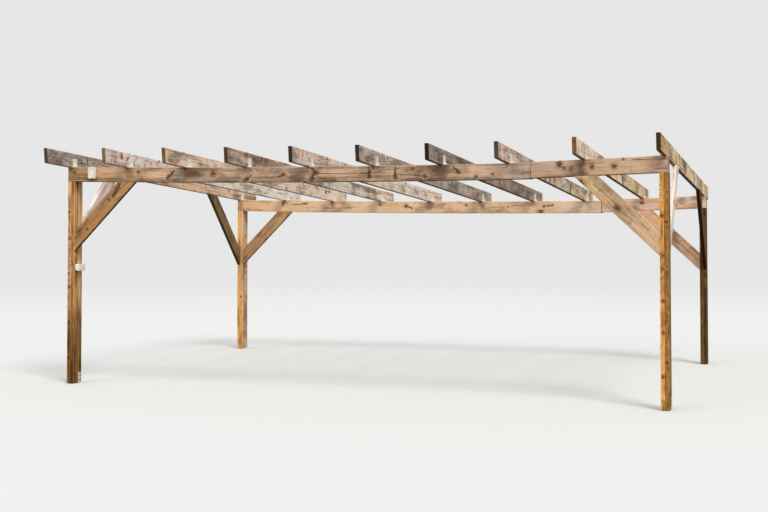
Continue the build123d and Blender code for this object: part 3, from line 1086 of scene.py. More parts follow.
class Bench:
    """Modelling by operators, as by hand: a primitive, edit mode, modifiers, copies."""

    @staticmethod
    def clear() -> None:
        """Leaves edit mode and deselects everything."""
        if bpy.context.object is not None and bpy.context.object.mode != "OBJECT":
            bpy.ops.object.mode_set(mode="OBJECT")
        bpy.ops.object.select_all(action="DESELECT")

    @staticmethod
    def pick(*pieces: Piece) -> None:
        """Selects some pieces and nothing else, and makes the first the active one.

        Args:
            *pieces: The pieces.
        """
        Bench.clear()
        for piece in pieces:
            piece.select_set(True)
        bpy.context.view_layer.objects.active = pieces[0]

    @staticmethod
    def settled(name: str) -> Piece:
        """Names the new primitive and moves its place and size into its mesh.

        Args:
            name: The piece's name.

        Returns:
            The piece.
        """
        piece = bpy.context.object
        piece.name = name
        bpy.ops.object.transform_apply(location=True, rotation=True, scale=True)
        return piece

    @staticmethod
    def block(name: str, low: Vector, high: Vector) -> Piece:
        """Adds a block.

        Args:
            name: The piece's name.
            low: Lowest corner.
            high: Highest corner.

        Returns:
            The piece.
        """
        Bench.clear()
        bpy.ops.mesh.primitive_cube_add(size=1.0, location=(low + high) / 2)
        bpy.context.object.scale = high - low
        return Bench.settled(name)

    @staticmethod
    def drum(name: str, radius: float, base: float, top: float, sides: int) -> Piece:
        """Adds an upright prism or cylinder on the Z axis.

        Args:
            name: The piece's name.
            radius: Radius to its corners.
            base: Height of its underside.
            top: Height of its top.
            sides: How many sides it has.

        Returns:
            The piece.
        """
        Bench.clear()
        middle = (0, 0, (base + top) / 2)
        bpy.ops.mesh.primitive_cylinder_add(vertices=sides, radius=radius, depth=top - base, location=middle)
        return Bench.settled(name)

    @staticmethod
    def pressed(piece: Piece, direction: Vector, *steps: tuple[float, float], both: bool = False) -> Piece:
        """Insets the faces that look one way and pushes the inner faces in or out, once for each step.

        Args:
            piece: The piece.
            direction: The way that the faces look.
            *steps: Width of the inset, and how far the inner faces then move outwards.
            both: Whether the faces that look the opposite way are inset too.

        Returns:
            The piece.
        """
        Bench.pick(piece)
        bpy.context.scene.tool_settings.mesh_select_mode = (False, False, True)
        mesh = piece.data
        for group in (mesh.vertices, mesh.edges):
            for item in group:
                item.select = False
        for face in mesh.polygons:
            turned = face.normal.dot(direction)
            face.select = (abs(turned) if both else turned) > 0.9
        bpy.ops.object.mode_set(mode="EDIT")
        for width, outwards in steps:
            bpy.ops.mesh.inset(thickness=width)
            if outwards:
                bpy.ops.mesh.extrude_region_move(TRANSFORM_OT_translate={"value": tuple(direction * outwards)})
        Bench.clear()
        return piece

    @staticmethod
    def modified(piece: Piece, kind: str, **settings: object) -> Piece:
        """Adds a modifier and applies it.

        Args:
            piece: The piece.
            kind: The modifier's type.
            **settings: Its settings.

        Returns:
            The piece.
        """
        Bench.pick(piece)
        modifier = piece.modifiers.new(kind.lower(), kind)
        for name, value in settings.items():
            setattr(modifier, name, value)
        bpy.ops.object.modifier_apply(modifier=modifier.name)
        return piece

    @staticmethod
    def bevelled(piece: Piece, width: float, segments: int = 2) -> Piece:
        """Rounds the piece's sharp edges."""
        settings = {"width": width, "segments": segments, "limit_method": "ANGLE", "angle_limit": math.radians(40)}
        return Bench.modified(piece, "BEVEL", **settings)

    @staticmethod
    def cut(piece: Piece, tool: Piece) -> Piece:
        """Cuts the tool's shape out of the piece and removes the tool.

        Args:
            piece: The piece.
            tool: What is cut out of it.

        Returns:
            The piece.
        """
        Bench.modified(piece, "BOOLEAN", operation="DIFFERENCE", object=tool, solver="EXACT")
        bpy.data.objects.remove(tool)
        return piece

    @staticmethod
    def copied(piece: Piece, name: str, place: Matrix) -> Piece:
        """Copies a piece with its own mesh.

        Args:
            piece: What is copied.
            name: The copy's name.
            place: Where it goes.

        Returns:
            The copy.
        """
        copy = bpy.data.objects.new(name, piece.data.copy())
        copy.data.transform(place)
        bpy.context.scene.collection.objects.link(copy)
        return copy

    @staticmethod
    def joined(name: str, pieces: list[Piece]) -> Piece:
        """Joins pieces into one object.

        Args:
            name: The new piece's name.
            pieces: What is joined.

        Returns:
            The piece.
        """
        Bench.pick(*pieces)
        if len(pieces) > 1:
            bpy.ops.object.join()
        pieces[0].name = name
        return pieces[0]

    @staticmethod
    def painted(piece: Piece, material: Material) -> str:
        """Makes a material the piece's only one.

        Args:
            piece: The piece.
            material: Its material.

        Returns:
            The piece's name.
        """
        piece.data.materials.clear()
        piece.data.materials.append(material)
        return piece.name

    @staticmethod
    def delivered(piece: Piece, material: Material, slot: Slot) -> str:
        """Gives a finished piece its material, shading and body.

        Args:
            piece: The piece.
            material: Its material.
            slot: A material slot for the piece; not used.

        Returns:
            The piece's name.
        """
        Bench.painted(piece, material)
        Bench.pick(piece)
        bpy.ops.object.shade_smooth_by_angle(angle=math.radians(35))
        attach(piece, ROOT_BODY)
        return piece.name


def facing(direction: Vector, place: Vector) -> Matrix:
    """Returns the placing that turns a fixing's Z axis to a direction and moves it to a place."""
    return Matrix.Translation(place) @ direction.to_track_quat("Z", "Y").to_matrix().to_4x4()


def side_face(low: Vector, high: Vector, direction: Vector) -> float:
    """Returns the X of the side of a box that looks a direction along X."""
    return high.x if direction.x > 0 else low.x


@dataclass
class Fixings:
    """Patterns of the screws, bolts and nails, each modelled once at the origin, head up."""

    screw_radius: float = 0.0045
    nail_radius: float = 0.0035
    bolt_radius: float = 0.0104
    washer_radius: float = 0.015
    flush_radius: float = 0.0105
    patterns: dict[Head, Piece] = field(default_factory=dict)

    def __post_init__(self) -> None:
        """Models the patterns."""
        screw = Bench.drum("screw_pattern", self.screw_radius, -0.0005, 0.0022, 12)
        Bench.pressed(screw, UP, (self.screw_radius * 0.5, -0.0014))
        self.patterns[Head.SCREW] = Bench.bevelled(screw, 0.0007, 1)
        nail = Bench.drum("nail_pattern", self.nail_radius, -0.0008, 0.0006, 10)
        self.patterns[Head.NAIL] = Bench.pressed(nail, UP, (self.nail_radius * 0.35, -0.0003))
        washer = Bench.bevelled(Bench.drum("washer", self.washer_radius, 0.0, 0.0024, 28), 0.0006, 1)
        hexagon = Bench.pressed(Bench.drum("head", self.bolt_radius, 0.0022, 0.0096, 6), UP, (0.0014, 0.0005))
        self.patterns[Head.BOLT] = Bench.joined("bolt_pattern", [washer, Bench.bevelled(hexagon, 0.0006, 2)])
        flush = Bench.drum("flush_pattern", self.flush_radius, -0.0005, 0.0005, 24)
        self.patterns[Head.FLUSH] = Bench.pressed(flush, UP, (0.0062, -0.0009))

    def placed(self, name: str, head: Head, places: list[Matrix]) -> Piece:
        """Copies a pattern to many places as one piece.

        Args:
            name: The piece's name.
            head: Which pattern is copied.
            places: Where the copies go.

        Returns:
            The piece.
        """
        copies = [Bench.copied(self.patterns[head], f"{name}_{i}", place) for i, place in enumerate(places)]
        return Bench.joined(name, copies)

    def put_away(self) -> None:
        """Removes the patterns once everything is copied."""
        for pattern in self.patterns.values():
            bpy.data.objects.remove(pattern)
        self.patterns.clear()


class Timbers:
    """A sub-assembly of boards: CAD nodes that keep their shape and get a timber material each."""

    def boards(self) -> list[Board]:
        """Returns the boards."""
        raise NotImplementedError

    def build(self, nodes: Nodes) -> list[str]:
        """Dresses the boards.

        Args:
            nodes: The CAD nodes by name.

        Returns:
            The names of the pieces.
        """
        return [Bench.painted(nodes[board.node], TimberShader(board).build()) for board in self.boards()]


@dataclass
class Posts(Timbers):
    """The four doubled posts."""

    FINISHES = {
        FRONT_LEFT: TimberFinish(
            "825922", "dba66b", streaks=0.6, greying=0.3, branches=0.0, knots=0.6, figure=0.5,
            flank=(1.52, 1.72, 2.0), tones=(1.22, 0.86),
        ),
        FRONT_RIGHT: TimberFinish(
            "c79450", "c6944f", streaks=0.25, greying=0.1, branches=0.0, knots=0.3, scars=0.1, figure=0.85,
            flank=(0.78, 0.74, 0.6), tones=(1.64, 0.62),
        ),
        REAR_LEFT: TimberFinish(
            "f8be6e", "fac06f", streaks=0.35, greying=0.3, branches=0.0, figure=0.5,
            flank=(0.84, 1.02, 2.05), tones=(1.1, 0.9),
        ),
        REAR_RIGHT: TimberFinish(
            "735220", "795724", streaks=0.9, greying=0.2, branches=0.0, flank=(1.3, 1.36, 1.5), tones=(1.38, 0.8)
        ),
    }
    MARKS = {
        FRONT_LEFT: (
            edge_knot(0.83, -0.030, 0.010),
            edge_knot(0.52, -0.020, 0.012),
            edge_knot(0.10, -0.032, 0.010),
            edge_knot(-0.06, -0.022, 0.012),
            edge_knot(-0.48, -0.026, 0.012),
            edge_knot(-0.90, -0.020, 0.011),
            knot(0.35, 0.02, 0.012),
            crack(0.2, 0.02, 0.003, 1.3, 1),
        ),
        FRONT_RIGHT: (
            edge_knot(0.76, -0.020, 0.016),
            edge_knot(0.70, 0.022, 0.009),
            edge_knot(0.36, -0.012, 0.013),
            edge_knot(0.22, -0.020, 0.012),
            edge_knot(-0.10, -0.014, 0.013),
            edge_knot(-0.42, -0.018, 0.012),
            edge_knot(-0.72, 0.018, 0.009),
            edge_knot(-0.86, -0.016, 0.013),
            crack(0.0, -0.03, 0.003, 1.1, 1),
        ),
        REAR_LEFT: (edge_knot(0.42, -0.020, 0.012), edge_knot(-0.26, 0.012, 0.012), knot(0.1, 0.0, 0.014)),
    }
    length: float = 2.4
    first_seed: float = 1.3

    def boards(self) -> list[Board]:
        """Sets out the posts.

        Returns:
            A board for each.
        """
        done = []
        for number, corner in enumerate(CORNERS):
            name = node_name("post_{}_{}", corner)
            low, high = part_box(name)
            seed, marks = self.first_seed + number, self.MARKS.get(corner, ())
            finish, centre = self.FINISHES[corner], (low + high) / 2
            done.append(Board(name, finish, seed, UP, TO_FRONT, centre, self.length, plies=2, features=marks))
        return done


@dataclass
class Beams(Timbers):
    """The two beams, each a sagging long length and a straight short one."""

    FINISHES = {
        FRONT_LEFT: TimberFinish(
            "b18b57", "bda188", (-0.85, -0.05), streaks=0.4, greying=0.4, branches=0.3, knots=0.8, checks=0.7
        ),
        FRONT_RIGHT: TimberFinish(
            "b39986", "c1a287", (-0.4, 0.2), streaks=0.15, greying=0.2, branches=0.1, knots=0.8, checks=0.6,
            ends="a58e76",
        ),
        REAR_LEFT: TimberFinish("e8c098", "e8c5a4", (-0.5, 0.4), streaks=0.15, greying=0.2, branches=0.2, checks=0.7),
        REAR_RIGHT: TimberFinish("eac2a4", streaks=0.2, greying=0.4, branches=0.2, checks=0.7, ends="a08a72"),
    }
    SOAKED = {
        FRONT_LEFT: (1.15, 0.5), FRONT_RIGHT: (1.2, 0.6), REAR_LEFT: (0.8, 0.8), REAR_RIGHT: (0.8, 0.8)
    }
    MARKS = {
        FRONT_LEFT: (
            knot(-2.713, 0.017, 0.010),
            knot(-1.853, 0.036, 0.013),
            bleach(-1.845, 0.060, 0.030),
            bleach(-2.230, 0.010, 0.065, 0.320),
            bleach(-1.640, 0.000, 0.050, 0.240),
            stain(-1.190, 0.000, 0.060, 0.100, lean=0),
            branch(-1.427, 0.009, 0.012, 0.114, -133),
            knot(-0.884, 0.015, 0.018),
            branch(-0.439, -0.032, 0.012, 0.092, -144),
            bleach(-0.391, 0.060, 0.014, 0.105, -34),
            branch(-0.048, -0.020, 0.009, 0.092, 17),
            branch(0.348, 0.051, 0.012, 0.084, -53),
            branch(0.352, -0.019, 0.012, 0.085, -120),
            bleach(0.660, 0.015, 0.060, 0.380),
            crack(0.692, 0.001, 0.0045, 0.608, -1),
            branch(1.011, 0.018, 0.010, 0.118, -89),
            branch(1.311, 0.015, 0.010, 0.117, -89),
            crack(1.480, -0.020, 0.0035, 0.315, -5),
            knot(1.508, 0.044, 0.010),
            knot(1.650, -0.035, 0.010),
            stain(1.830, 0.030, 0.085, 0.100),
            branch(1.992, 0.034, 0.009, 0.098, -47),
            knot(2.210, -0.050, 0.012),
            bleach(2.330, 0.010, 0.060, 0.300),
            knot(2.393, -0.027, 0.011),
        ),
        FRONT_RIGHT: (
            knot(-0.404, 0.050, 0.022),
            knot(-0.354, 0.011, 0.010),
            stain(-0.145, 0.020, 0.060, 0.120),
            bleach(-0.105, 0.045, 0.020, 0.05, 90),
            knot(-0.062, 0.004, 0.017),
            knot(0.159, 0.001, 0.019),
            knot(0.257, 0.072, 0.009),
            crack(0.516, 0.055, 0.0035, 0.336, -1),
            crack(0.629, -0.045, 0.0030, 0.129, -2),
        ),
        REAR_LEFT: (
            bleach(-2.450, 0.000, 0.060, 0.450),
            stain(-2.026, 0.045, 0.035, 0.060),
            branch(-1.780, 0.030, 0.007, 0.260, 3),
            stain(-1.242, 0.060, 0.045, 0.050),
            knot(-0.478, 0.030, 0.013),
            knot(-0.073, 0.015, 0.022),
            branch(-0.020, 0.000, 0.008, 0.070, -30),
            stain(0.278, 0.040, 0.060, 0.080),
            knot(0.841, 0.028, 0.012),
            stain(1.074, 0.060, 0.045, 0.060),
            knot(1.463, 0.010, 0.009),
            knot(1.985, 0.012, 0.014),
            branch(2.050, 0.020, 0.007, 0.120, 12),
            crack(2.799, 0.000, 0.006, 0.170, 90),
        ),
        REAR_RIGHT: (knot(-0.150, 0.020, 0.014), knot(0.300, -0.030, 0.010)),
    }
    first_seat: float = -3.4875
    seat_pitch: float = 0.767
    bows: dict[Row, float] = field(default_factory=lambda: {Row.FRONT: 0.020, Row.REAR: 0.017})
    sags: dict[Row, float] = field(default_factory=lambda: {Row.FRONT: 0.048, Row.REAR: 0.058})
    step: float = 0.008
    lengths: dict[Side, float] = field(default_factory=lambda: {Side.LEFT: 5.61, Side.RIGHT: 1.41})
    first_seed: float = 7.1
    seed_step: float = 1.7

    def bow(self, corner: Corner) -> float:
        """Returns how far a length's middle hangs below its ends."""
        return self.bows[corner[0]] if corner[1] is Side.LEFT else 0.0

    def line(self, corner: Corner) -> tuple[Vector, Vector]:
        """Finds a beam length's middle and the direction of its grain.

        Args:
            corner: Which length of which beam.

        Returns:
            The middle and the direction.
        """
        row, side = corner
        low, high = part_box(node_name("{}_beam_{}", corner))
        length = self.lengths[side]
        rise = -self.sags[row] if side is Side.LEFT else self.sags[row] - self.step
        x = side_face(low, high, -side.inward) + side.inward.x * length / 2
        z = high.z - BOARD_WIDTH / 2 - abs(rise) / 2
        return Vector((x, (low.y + high.y) / 2, z)), Vector((length, 0, rise)).normalized()

    def top(self, row: Row, x: float) -> float:
        """Finds the height of a beam's top edge.

        Args:
            row: Which beam.
            x: How far the place is from the beam's left end.

        Returns:
            The height.
        """
        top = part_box(f"{row.value}_beam_left")[1].z
        sag, bow = self.sags[row], self.bows[row]
        long, short = self.lengths[Side.LEFT], self.lengths[Side.RIGHT]
        if x >= long:
            return top + (self.step - sag) * (long + short - x) / short
        chord = math.hypot(long, sag)
        radius = (chord * chord / 4 + bow * bow) / (2 * bow)
        centre_x = long / 2 + sag / chord * (radius - bow)
        centre_z = -sag / 2 + long / chord * (radius - bow)
        return top + centre_z - math.sqrt(radius * radius - (x - centre_x) ** 2)

    def boards(self) -> list[Board]:
        """Sets out the lengths of beam.

        Returns:
            A board for each.
        """
        done = []
        for number, corner in enumerate(CORNERS):
            centre, along = self.line(corner)
            board = Board(
                node_name("{}_beam_{}", corner),
                self.FINISHES[corner],
                self.first_seed + self.seed_step * number,
                along,
                TO_FRONT.cross(along),
                centre,
                self.lengths[corner[1]],
                plies=3,
                bow=self.bow(corner),
                seats=(self.first_seat, self.seat_pitch),
                soaked=self.SOAKED[corner],
                features=self.MARKS[corner],
            )
            done.append(board)
        return done


def rafter_finish(
    ground: str, far: str, ends: str, greying: float, scars: float, branches: float, mildew: float, **others: object
) -> TimberFinish:
    """Returns a rafter's finish, with what all rafters share.

    Args:
        ground: Its mean colour at the front.
        far: Its mean colour at the rear.
        ends: Colour of its sawn ends.
        greying: Share of the surface that has greyed.
        scars: Strength of the short dark dashes.
        branches: Strength of the scattered branches.
        mildew: Strength of the dark runs down the sides.
        **others: What this rafter alone has.

    Returns:
        The finish.
    """
    shared = TimberFinish(ground, far, lift=1.2, warmth=0.15, ends=ends)
    return replace(shared, greying=greying, scars=scars, branches=branches, mildew=mildew, **others)


@dataclass
class Rafters(Timbers):
    """The ten sloping rafters."""

    FINISHES = (
        rafter_finish("b09481", "dcb08c", "59493e", 0.65, 0.9, 0.3, 0.15),
        rafter_finish("dcc9bf", "f8f3ea", "8e7353", 0.5, 0.8, 0.7, 0.15),
        rafter_finish("e6c7ae", "e6cfb8", "78653c", 0.45, 0.8, 0.5, 0.2),
        rafter_finish("b69f90", "dccdba", "554233", 0.6, 0.9, 0.6, 0.25, streaks=0.45),
        rafter_finish("cbb2a1", "f6e2c6", "3f3324", 0.6, 0.75, 1.0, 0.25),
        rafter_finish("bfa693", "ae9785", "3c3226", 0.75, 0.85, 0.7, 0.35),
        rafter_finish("937e68", "a28066", "221809", 0.8, 0.85, 0.5, 0.5),
        rafter_finish("c6ac98", "c8b08e", "5b4a34", 0.5, 0.9, 0.5, 1.0),
        rafter_finish("f8e7d0", "d8c39a", "80623b", 0.35, 0.6, 0.4, 1.0, warmth=0.2),
        rafter_finish("bf9f78", "dcc4a0", "47310b", 0.3, 0.6, 0.3, 1.0, turning=(-0.55, -0.2), warmth=0.3),
    )
    MARKS = {
        1: (branch(-2.556, 0.027, 0.006, 0.05, -50), crack(-2.2, -0.02, 0.003, 0.5), knot(1.882, 0.013, 0.014)),
        2: (knot(-2.50, 0.025, 0.020), branch(-2.38, 0.0, 0.008, 0.09, 50), branch(-1.643, 0.05, 0.010, 0.07, 60)),
        3: (crack(-2.2, 0.0, 0.003, 0.6), knot(1.990, 0.030, 0.022), branch(2.080, 0.020, 0.010, 0.12, 40)),
        4: (stain(-1.9, 0.03, 0.045, 0.5, lean=2), branch(-1.978, 0.020, 0.010, 0.10, 60)),
        5: (branch(-2.561, 0.020, 0.010, 0.15, 84), branch(-1.813, 0.050, 0.009, 0.10, 88), knot(-1.256, 0.06, 0.008)),
        6: (knot(-1.911, 0.050, 0.010), branch(-2.45, 0.02, 0.006, 0.06, 20)),
        8: (branch(-1.978, 0.031, 0.009, 0.08, 85), knot(-1.410, 0.055, 0.010)),
        9: (branch(-1.412, 0.070, 0.009, 0.08, 70), knot(-2.25, 0.03, 0.007)),
    }
    length: float = 5.71
    first_seed: float = 20.7
    seed_step: float = 1.9

    def boards(self) -> list[Board]:
        """Sets out the rafters.

        Returns:
            A board for each.
        """
        done = []
        for number, finish in enumerate(self.FINISHES, start=1):
            name = f"rafter_{number:02d}"
            low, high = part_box(name)
            slope = (high.z - low.z - BOARD_WIDTH) / (high.y - low.y)
            along = Vector((0, 1, -slope)).normalized()
            across = Vector((0, slope, 1)).normalized()
            seed, marks = self.first_seed + self.seed_step * number, self.MARKS.get(number, ())
            done.append(Board(name, finish, seed, along, across, (low + high) / 2, self.length, features=marks))
        return done


@dataclass
class Braces(Timbers):
    """The eight knee braces: four along the beams and four along the end rafters."""

    BEAM_FINISHES = {
        FRONT_LEFT: TimberFinish("ac8051", greying=0.3, branches=0.0, streaks=0.2, ends="6a4c30"),
        FRONT_RIGHT: TimberFinish("c3a583", greying=0.1, branches=0.0, streaks=0.08, checks=0.5),
        REAR_LEFT: TimberFinish("b68e65", greying=0.3, branches=0.1, streaks=0.2),
        REAR_RIGHT: TimberFinish("d5af8f", greying=0.3, branches=0.1, streaks=0.15),
    }
    SIDE_FINISHES = {
        FRONT_LEFT: TimberFinish("ece0d6", greying=0.4, branches=0.1, streaks=0.15, scars=0.1),
        FRONT_RIGHT: TimberFinish(
            "f1e5dc", greying=0.1, branches=0.0, streaks=0.03, scars=0.0, warmth=0.1, checks=0.3, figure=0.1
        ),
        REAR_LEFT: TimberFinish("8f7650", greying=0.3, branches=0.1, mildew=0.4),
        REAR_RIGHT: TimberFinish("5e360a", greying=0.0, warmth=0.9, branches=0.1, flank=(1.1, 1.0, 0.6)),
    }
    BEAM_MARKS = {
        FRONT_LEFT: (
            knot(0.1, 0.02, 0.010),
            knot(-0.35, -0.02, 0.009),
            branch(0.30, 0.03, 0.008, 0.06, 40),
            stain(0.22, 0.02, 0.03, 0.1, lean=20),
        ),
        FRONT_RIGHT: (crack(0.16, -0.005, 0.004, 0.32), knot(-0.02, -0.02, 0.018), crack(-0.35, 0.03, 0.003, 0.12)),
    }
    length: float = 1.15
    beam_slopes: dict[Side, float] = field(default_factory=lambda: {Side.LEFT: 830 / 838, Side.RIGHT: 842 / 898})
    side_slope: float = 1.027
    beam_seeds: tuple[float, float] = (51.3, 2.3)
    side_seeds: tuple[float, float] = (63.9, 2.9)

    def brace(self, name: str, run: Vector, slope: float, finish: TimberFinish, seed: float) -> Board:
        """Sets out a brace.

        Args:
            name: The node's name.
            run: The level direction from its foot to its head.
            slope: How far it rises for each metre of that.
            finish: How it has weathered.
            seed: Which board of the pattern it is.

        Returns:
            The board.
        """
        low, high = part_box(name)
        foot = (low + high) / 2 - run * abs((high - low).dot(run)) / 2
        foot.z = low.z + BOARD_WIDTH * math.hypot(1, slope) / 2
        along = (run + UP * slope).normalized()
        across = (UP - run * slope).normalized()
        return Board(name, finish, seed, along, across, foot + along * self.length / 2, self.length)

    def boards(self) -> list[Board]:
        """Sets out the braces.

        Returns:
            A board for each.
        """
        done = []
        for number, corner in enumerate(CORNERS):
            row, side = corner
            beam_seed, side_seed = (first + step * number for first, step in (self.beam_seeds, self.side_seeds))
            name, finish = node_name("beam_brace_{}_{}", corner), self.BEAM_FINISHES[corner]
            board = self.brace(name, side.inward, self.beam_slopes[side], finish, beam_seed)
            done.append(replace(board, features=self.BEAM_MARKS.get(corner, ())))
            name, finish = node_name("side_brace_{}_{}", corner), self.SIDE_FINISHES[corner]
            done.append(self.brace(name, row.inward, self.side_slope, finish, side_seed))
        return done


@dataclass
class Feet:
    """The galvanised straps under the posts, and their bolts."""

    fixings: Fixings
    bolt_heights: tuple[float, ...] = (0.100, 0.045)
    finish: ZincFinish = ZincFinish()
    steel: SteelFinish = SteelFinish(colour="d2d4d0")

    def build(self, nodes: Nodes) -> list[str]:
        """Dresses the straps and puts a bolt head on each inner side and a flush head on each outer side.

        Args:
            nodes: The CAD nodes by name.

        Returns:
            The names of the pieces.
        """
        strap = self.finish.material("strap_zinc")
        bright = self.steel.material("bolt_steel")
        done = []
        for corner in CORNERS:
            name = node_name("foot_{}_{}", corner)
            low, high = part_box(name)
            heads = []
            for head, direction in ((Head.BOLT, corner[1].inward), (Head.FLUSH, -corner[1].inward)):
                x, y = side_face(low, high, direction), (low.y + high.y) / 2
                places = [facing(direction, Vector((x, y, z))) for z in self.bolt_heights]
                heads.append(self.fixings.placed(head.value, head, places))
            bolts = Bench.joined(node_name("bolts_{}_{}", corner), heads)
            done += [Bench.painted(nodes[name], strap), Bench.delivered(bolts, bright, Slot.GALVANISED)]
        return done


@dataclass
class Angles:
    """The angle brackets between the rafters and the beams, and their screws."""

    fixings: Fixings
    beams: Beams
    count: int = 10
    plate: float = 0.003
    leg: float = 0.105
    seating: float = 0.00005
    columns: tuple[float, ...] = (-0.028, 0.028)
    rows: tuple[float, ...] = (0.030, 0.062, 0.092)
    finish: ZincFinish = ZincFinish()
    steel: SteelFinish = SteelFinish(colour="a9aaa6", rusting=0.45)

    def corner(self, row: Row, number: int) -> tuple[Vector, Vector]:
        """Finds the inside corner of a bracket.

        Args:
            row: Which beam it is on.
            number: Which rafter it holds.

        Returns:
            The corner's place on the plates' outer faces, and the way along X that the bracket points.
        """
        low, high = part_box(f"rafter_{number:02d}")
        sideways = -TO_RIGHT if number == self.count else TO_RIGHT
        x = side_face(low, high, sideways)
        box_low, box_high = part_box(f"{row.value}_angles")
        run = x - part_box(f"{row.value}_beam_left")[0].x
        rest = max(self.beams.top(row, run), self.beams.top(row, run + sideways.x * self.leg))
        return Vector((x, (box_low.y + box_high.y) / 2, rest + self.seating)), sideways

    def build(self, nodes: Nodes) -> list[str]:
        """Dresses the brackets and screws them down.

        Args:
            nodes: The CAD nodes by name.

        Returns:
            The names of the pieces.
        """
        zinc = self.finish.material("bracket_zinc")
        dull = self.steel.material("screw_steel")
        done = []
        for row in Row:
            places = []
            for number in range(1, self.count + 1):
                corner, sideways = self.corner(row, number)
                for column in self.columns:
                    for reach in self.rows:
                        wall = corner + sideways * self.plate + Vector((0, column, reach))
                        shelf = corner + sideways * reach + Vector((0, column, self.plate))
                        places += [facing(sideways, wall), facing(UP, shelf)]
            screws = self.fixings.placed(f"{row.value}_angle_screws", Head.SCREW, places)
            done.append(Bench.painted(nodes[f"{row.value}_angles"], zinc))
            done.append(Bench.delivered(screws, dull, Slot.GALVANISED))
        return done


@dataclass
class Nails:
    """Nail heads in the faces of the beams and the braces."""

    fixings: Fixings
    beams: Beams
    braces: Braces
    steel: SteelFinish = SteelFinish(colour="77716a", rusting=0.8)
    beam_pitch: float = 0.61
    levels: tuple[float, ...] = (-0.052, 0.05)
    beam_brace_nails: tuple[tuple[float, float], ...] = ((0.035, 0.06), (0.05, 0.15), (0.68, 0.045), (0.60, 0.10))
    side_brace_nails: tuple[tuple[float, float], ...] = ((0.035, 0.06), (0.05, 0.16))

    def in_beam(self, corner: Corner) -> list[Matrix]:
        """Sets out the nails that hold a beam length's plies together, on both of its faces.

        Args:
            corner: Which length of which beam.

        Returns:
            A placing for each nail.
        """
        centre, along = self.beams.line(corner)
        low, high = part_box(node_name("{}_beam_{}", corner))
        length, bow = self.beams.lengths[corner[1]], self.beams.bow(corner)
        count = int(length / self.beam_pitch)
        places = []
        for step in range(count):
            for turn, level in enumerate(self.levels):
                u = (step + 0.5) / count * length - length / 2 + 0.11 * math.sin(step * 2.7 + turn * 4.1)
                place = centre + along * u
                dip = bow * (1 - (2 * u / length) ** 2)
                height = place.z + level + 0.008 * math.sin(step * 5.3 + turn) - dip
                for y, way in ((low.y, TO_FRONT), (high.y, -TO_FRONT)):
                    places.append(facing(way, Vector((place.x, y, height))))
        return places

    def in_braces(self, corner: Corner) -> list[Matrix]:
        """Sets out the nails at the foot and the head of the two braces of a post.

        Args:
            corner: Which post.

        Returns:
            A placing for each nail.
        """
        row, side = corner
        places = []
        low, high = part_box(node_name("beam_brace_{}_{}", corner))
        foot = Vector((side_face(low, high, -side.inward), low.y, low.z))
        for run, level in self.beam_brace_nails:
            rise = UP * (run * self.braces.beam_slopes[side] + level)
            places.append(facing(TO_FRONT, foot + side.inward * run + rise))
        low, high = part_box(node_name("side_brace_{}_{}", corner))
        for run, level in self.side_brace_nails:
            rise = UP * (run * self.braces.side_slope + level)
            for way in (side.inward, -side.inward):
                foot = Vector((side_face(low, high, way), low.y if row is Row.FRONT else high.y, low.z))
                places.append(facing(way, foot + row.inward * run + rise))
        return places

    def build(self, nodes: Nodes) -> list[str]:
        """Drives the nails.

        Args:
            nodes: The CAD nodes by name.

        Returns:
            The names of the pieces.
        """
        rusty = self.steel.material("nail_steel")
        done = []
        for row in Row:
            places = [place for side in Side for place in self.in_beam((row, side))]
            places += [place for side in Side for place in self.in_braces((row, side))]
            nails = self.fixings.placed(f"{row.value}_nails", Head.NAIL, places)
            done.append(Bench.delivered(nails, rusty, Slot.GALVANISED))
        return done


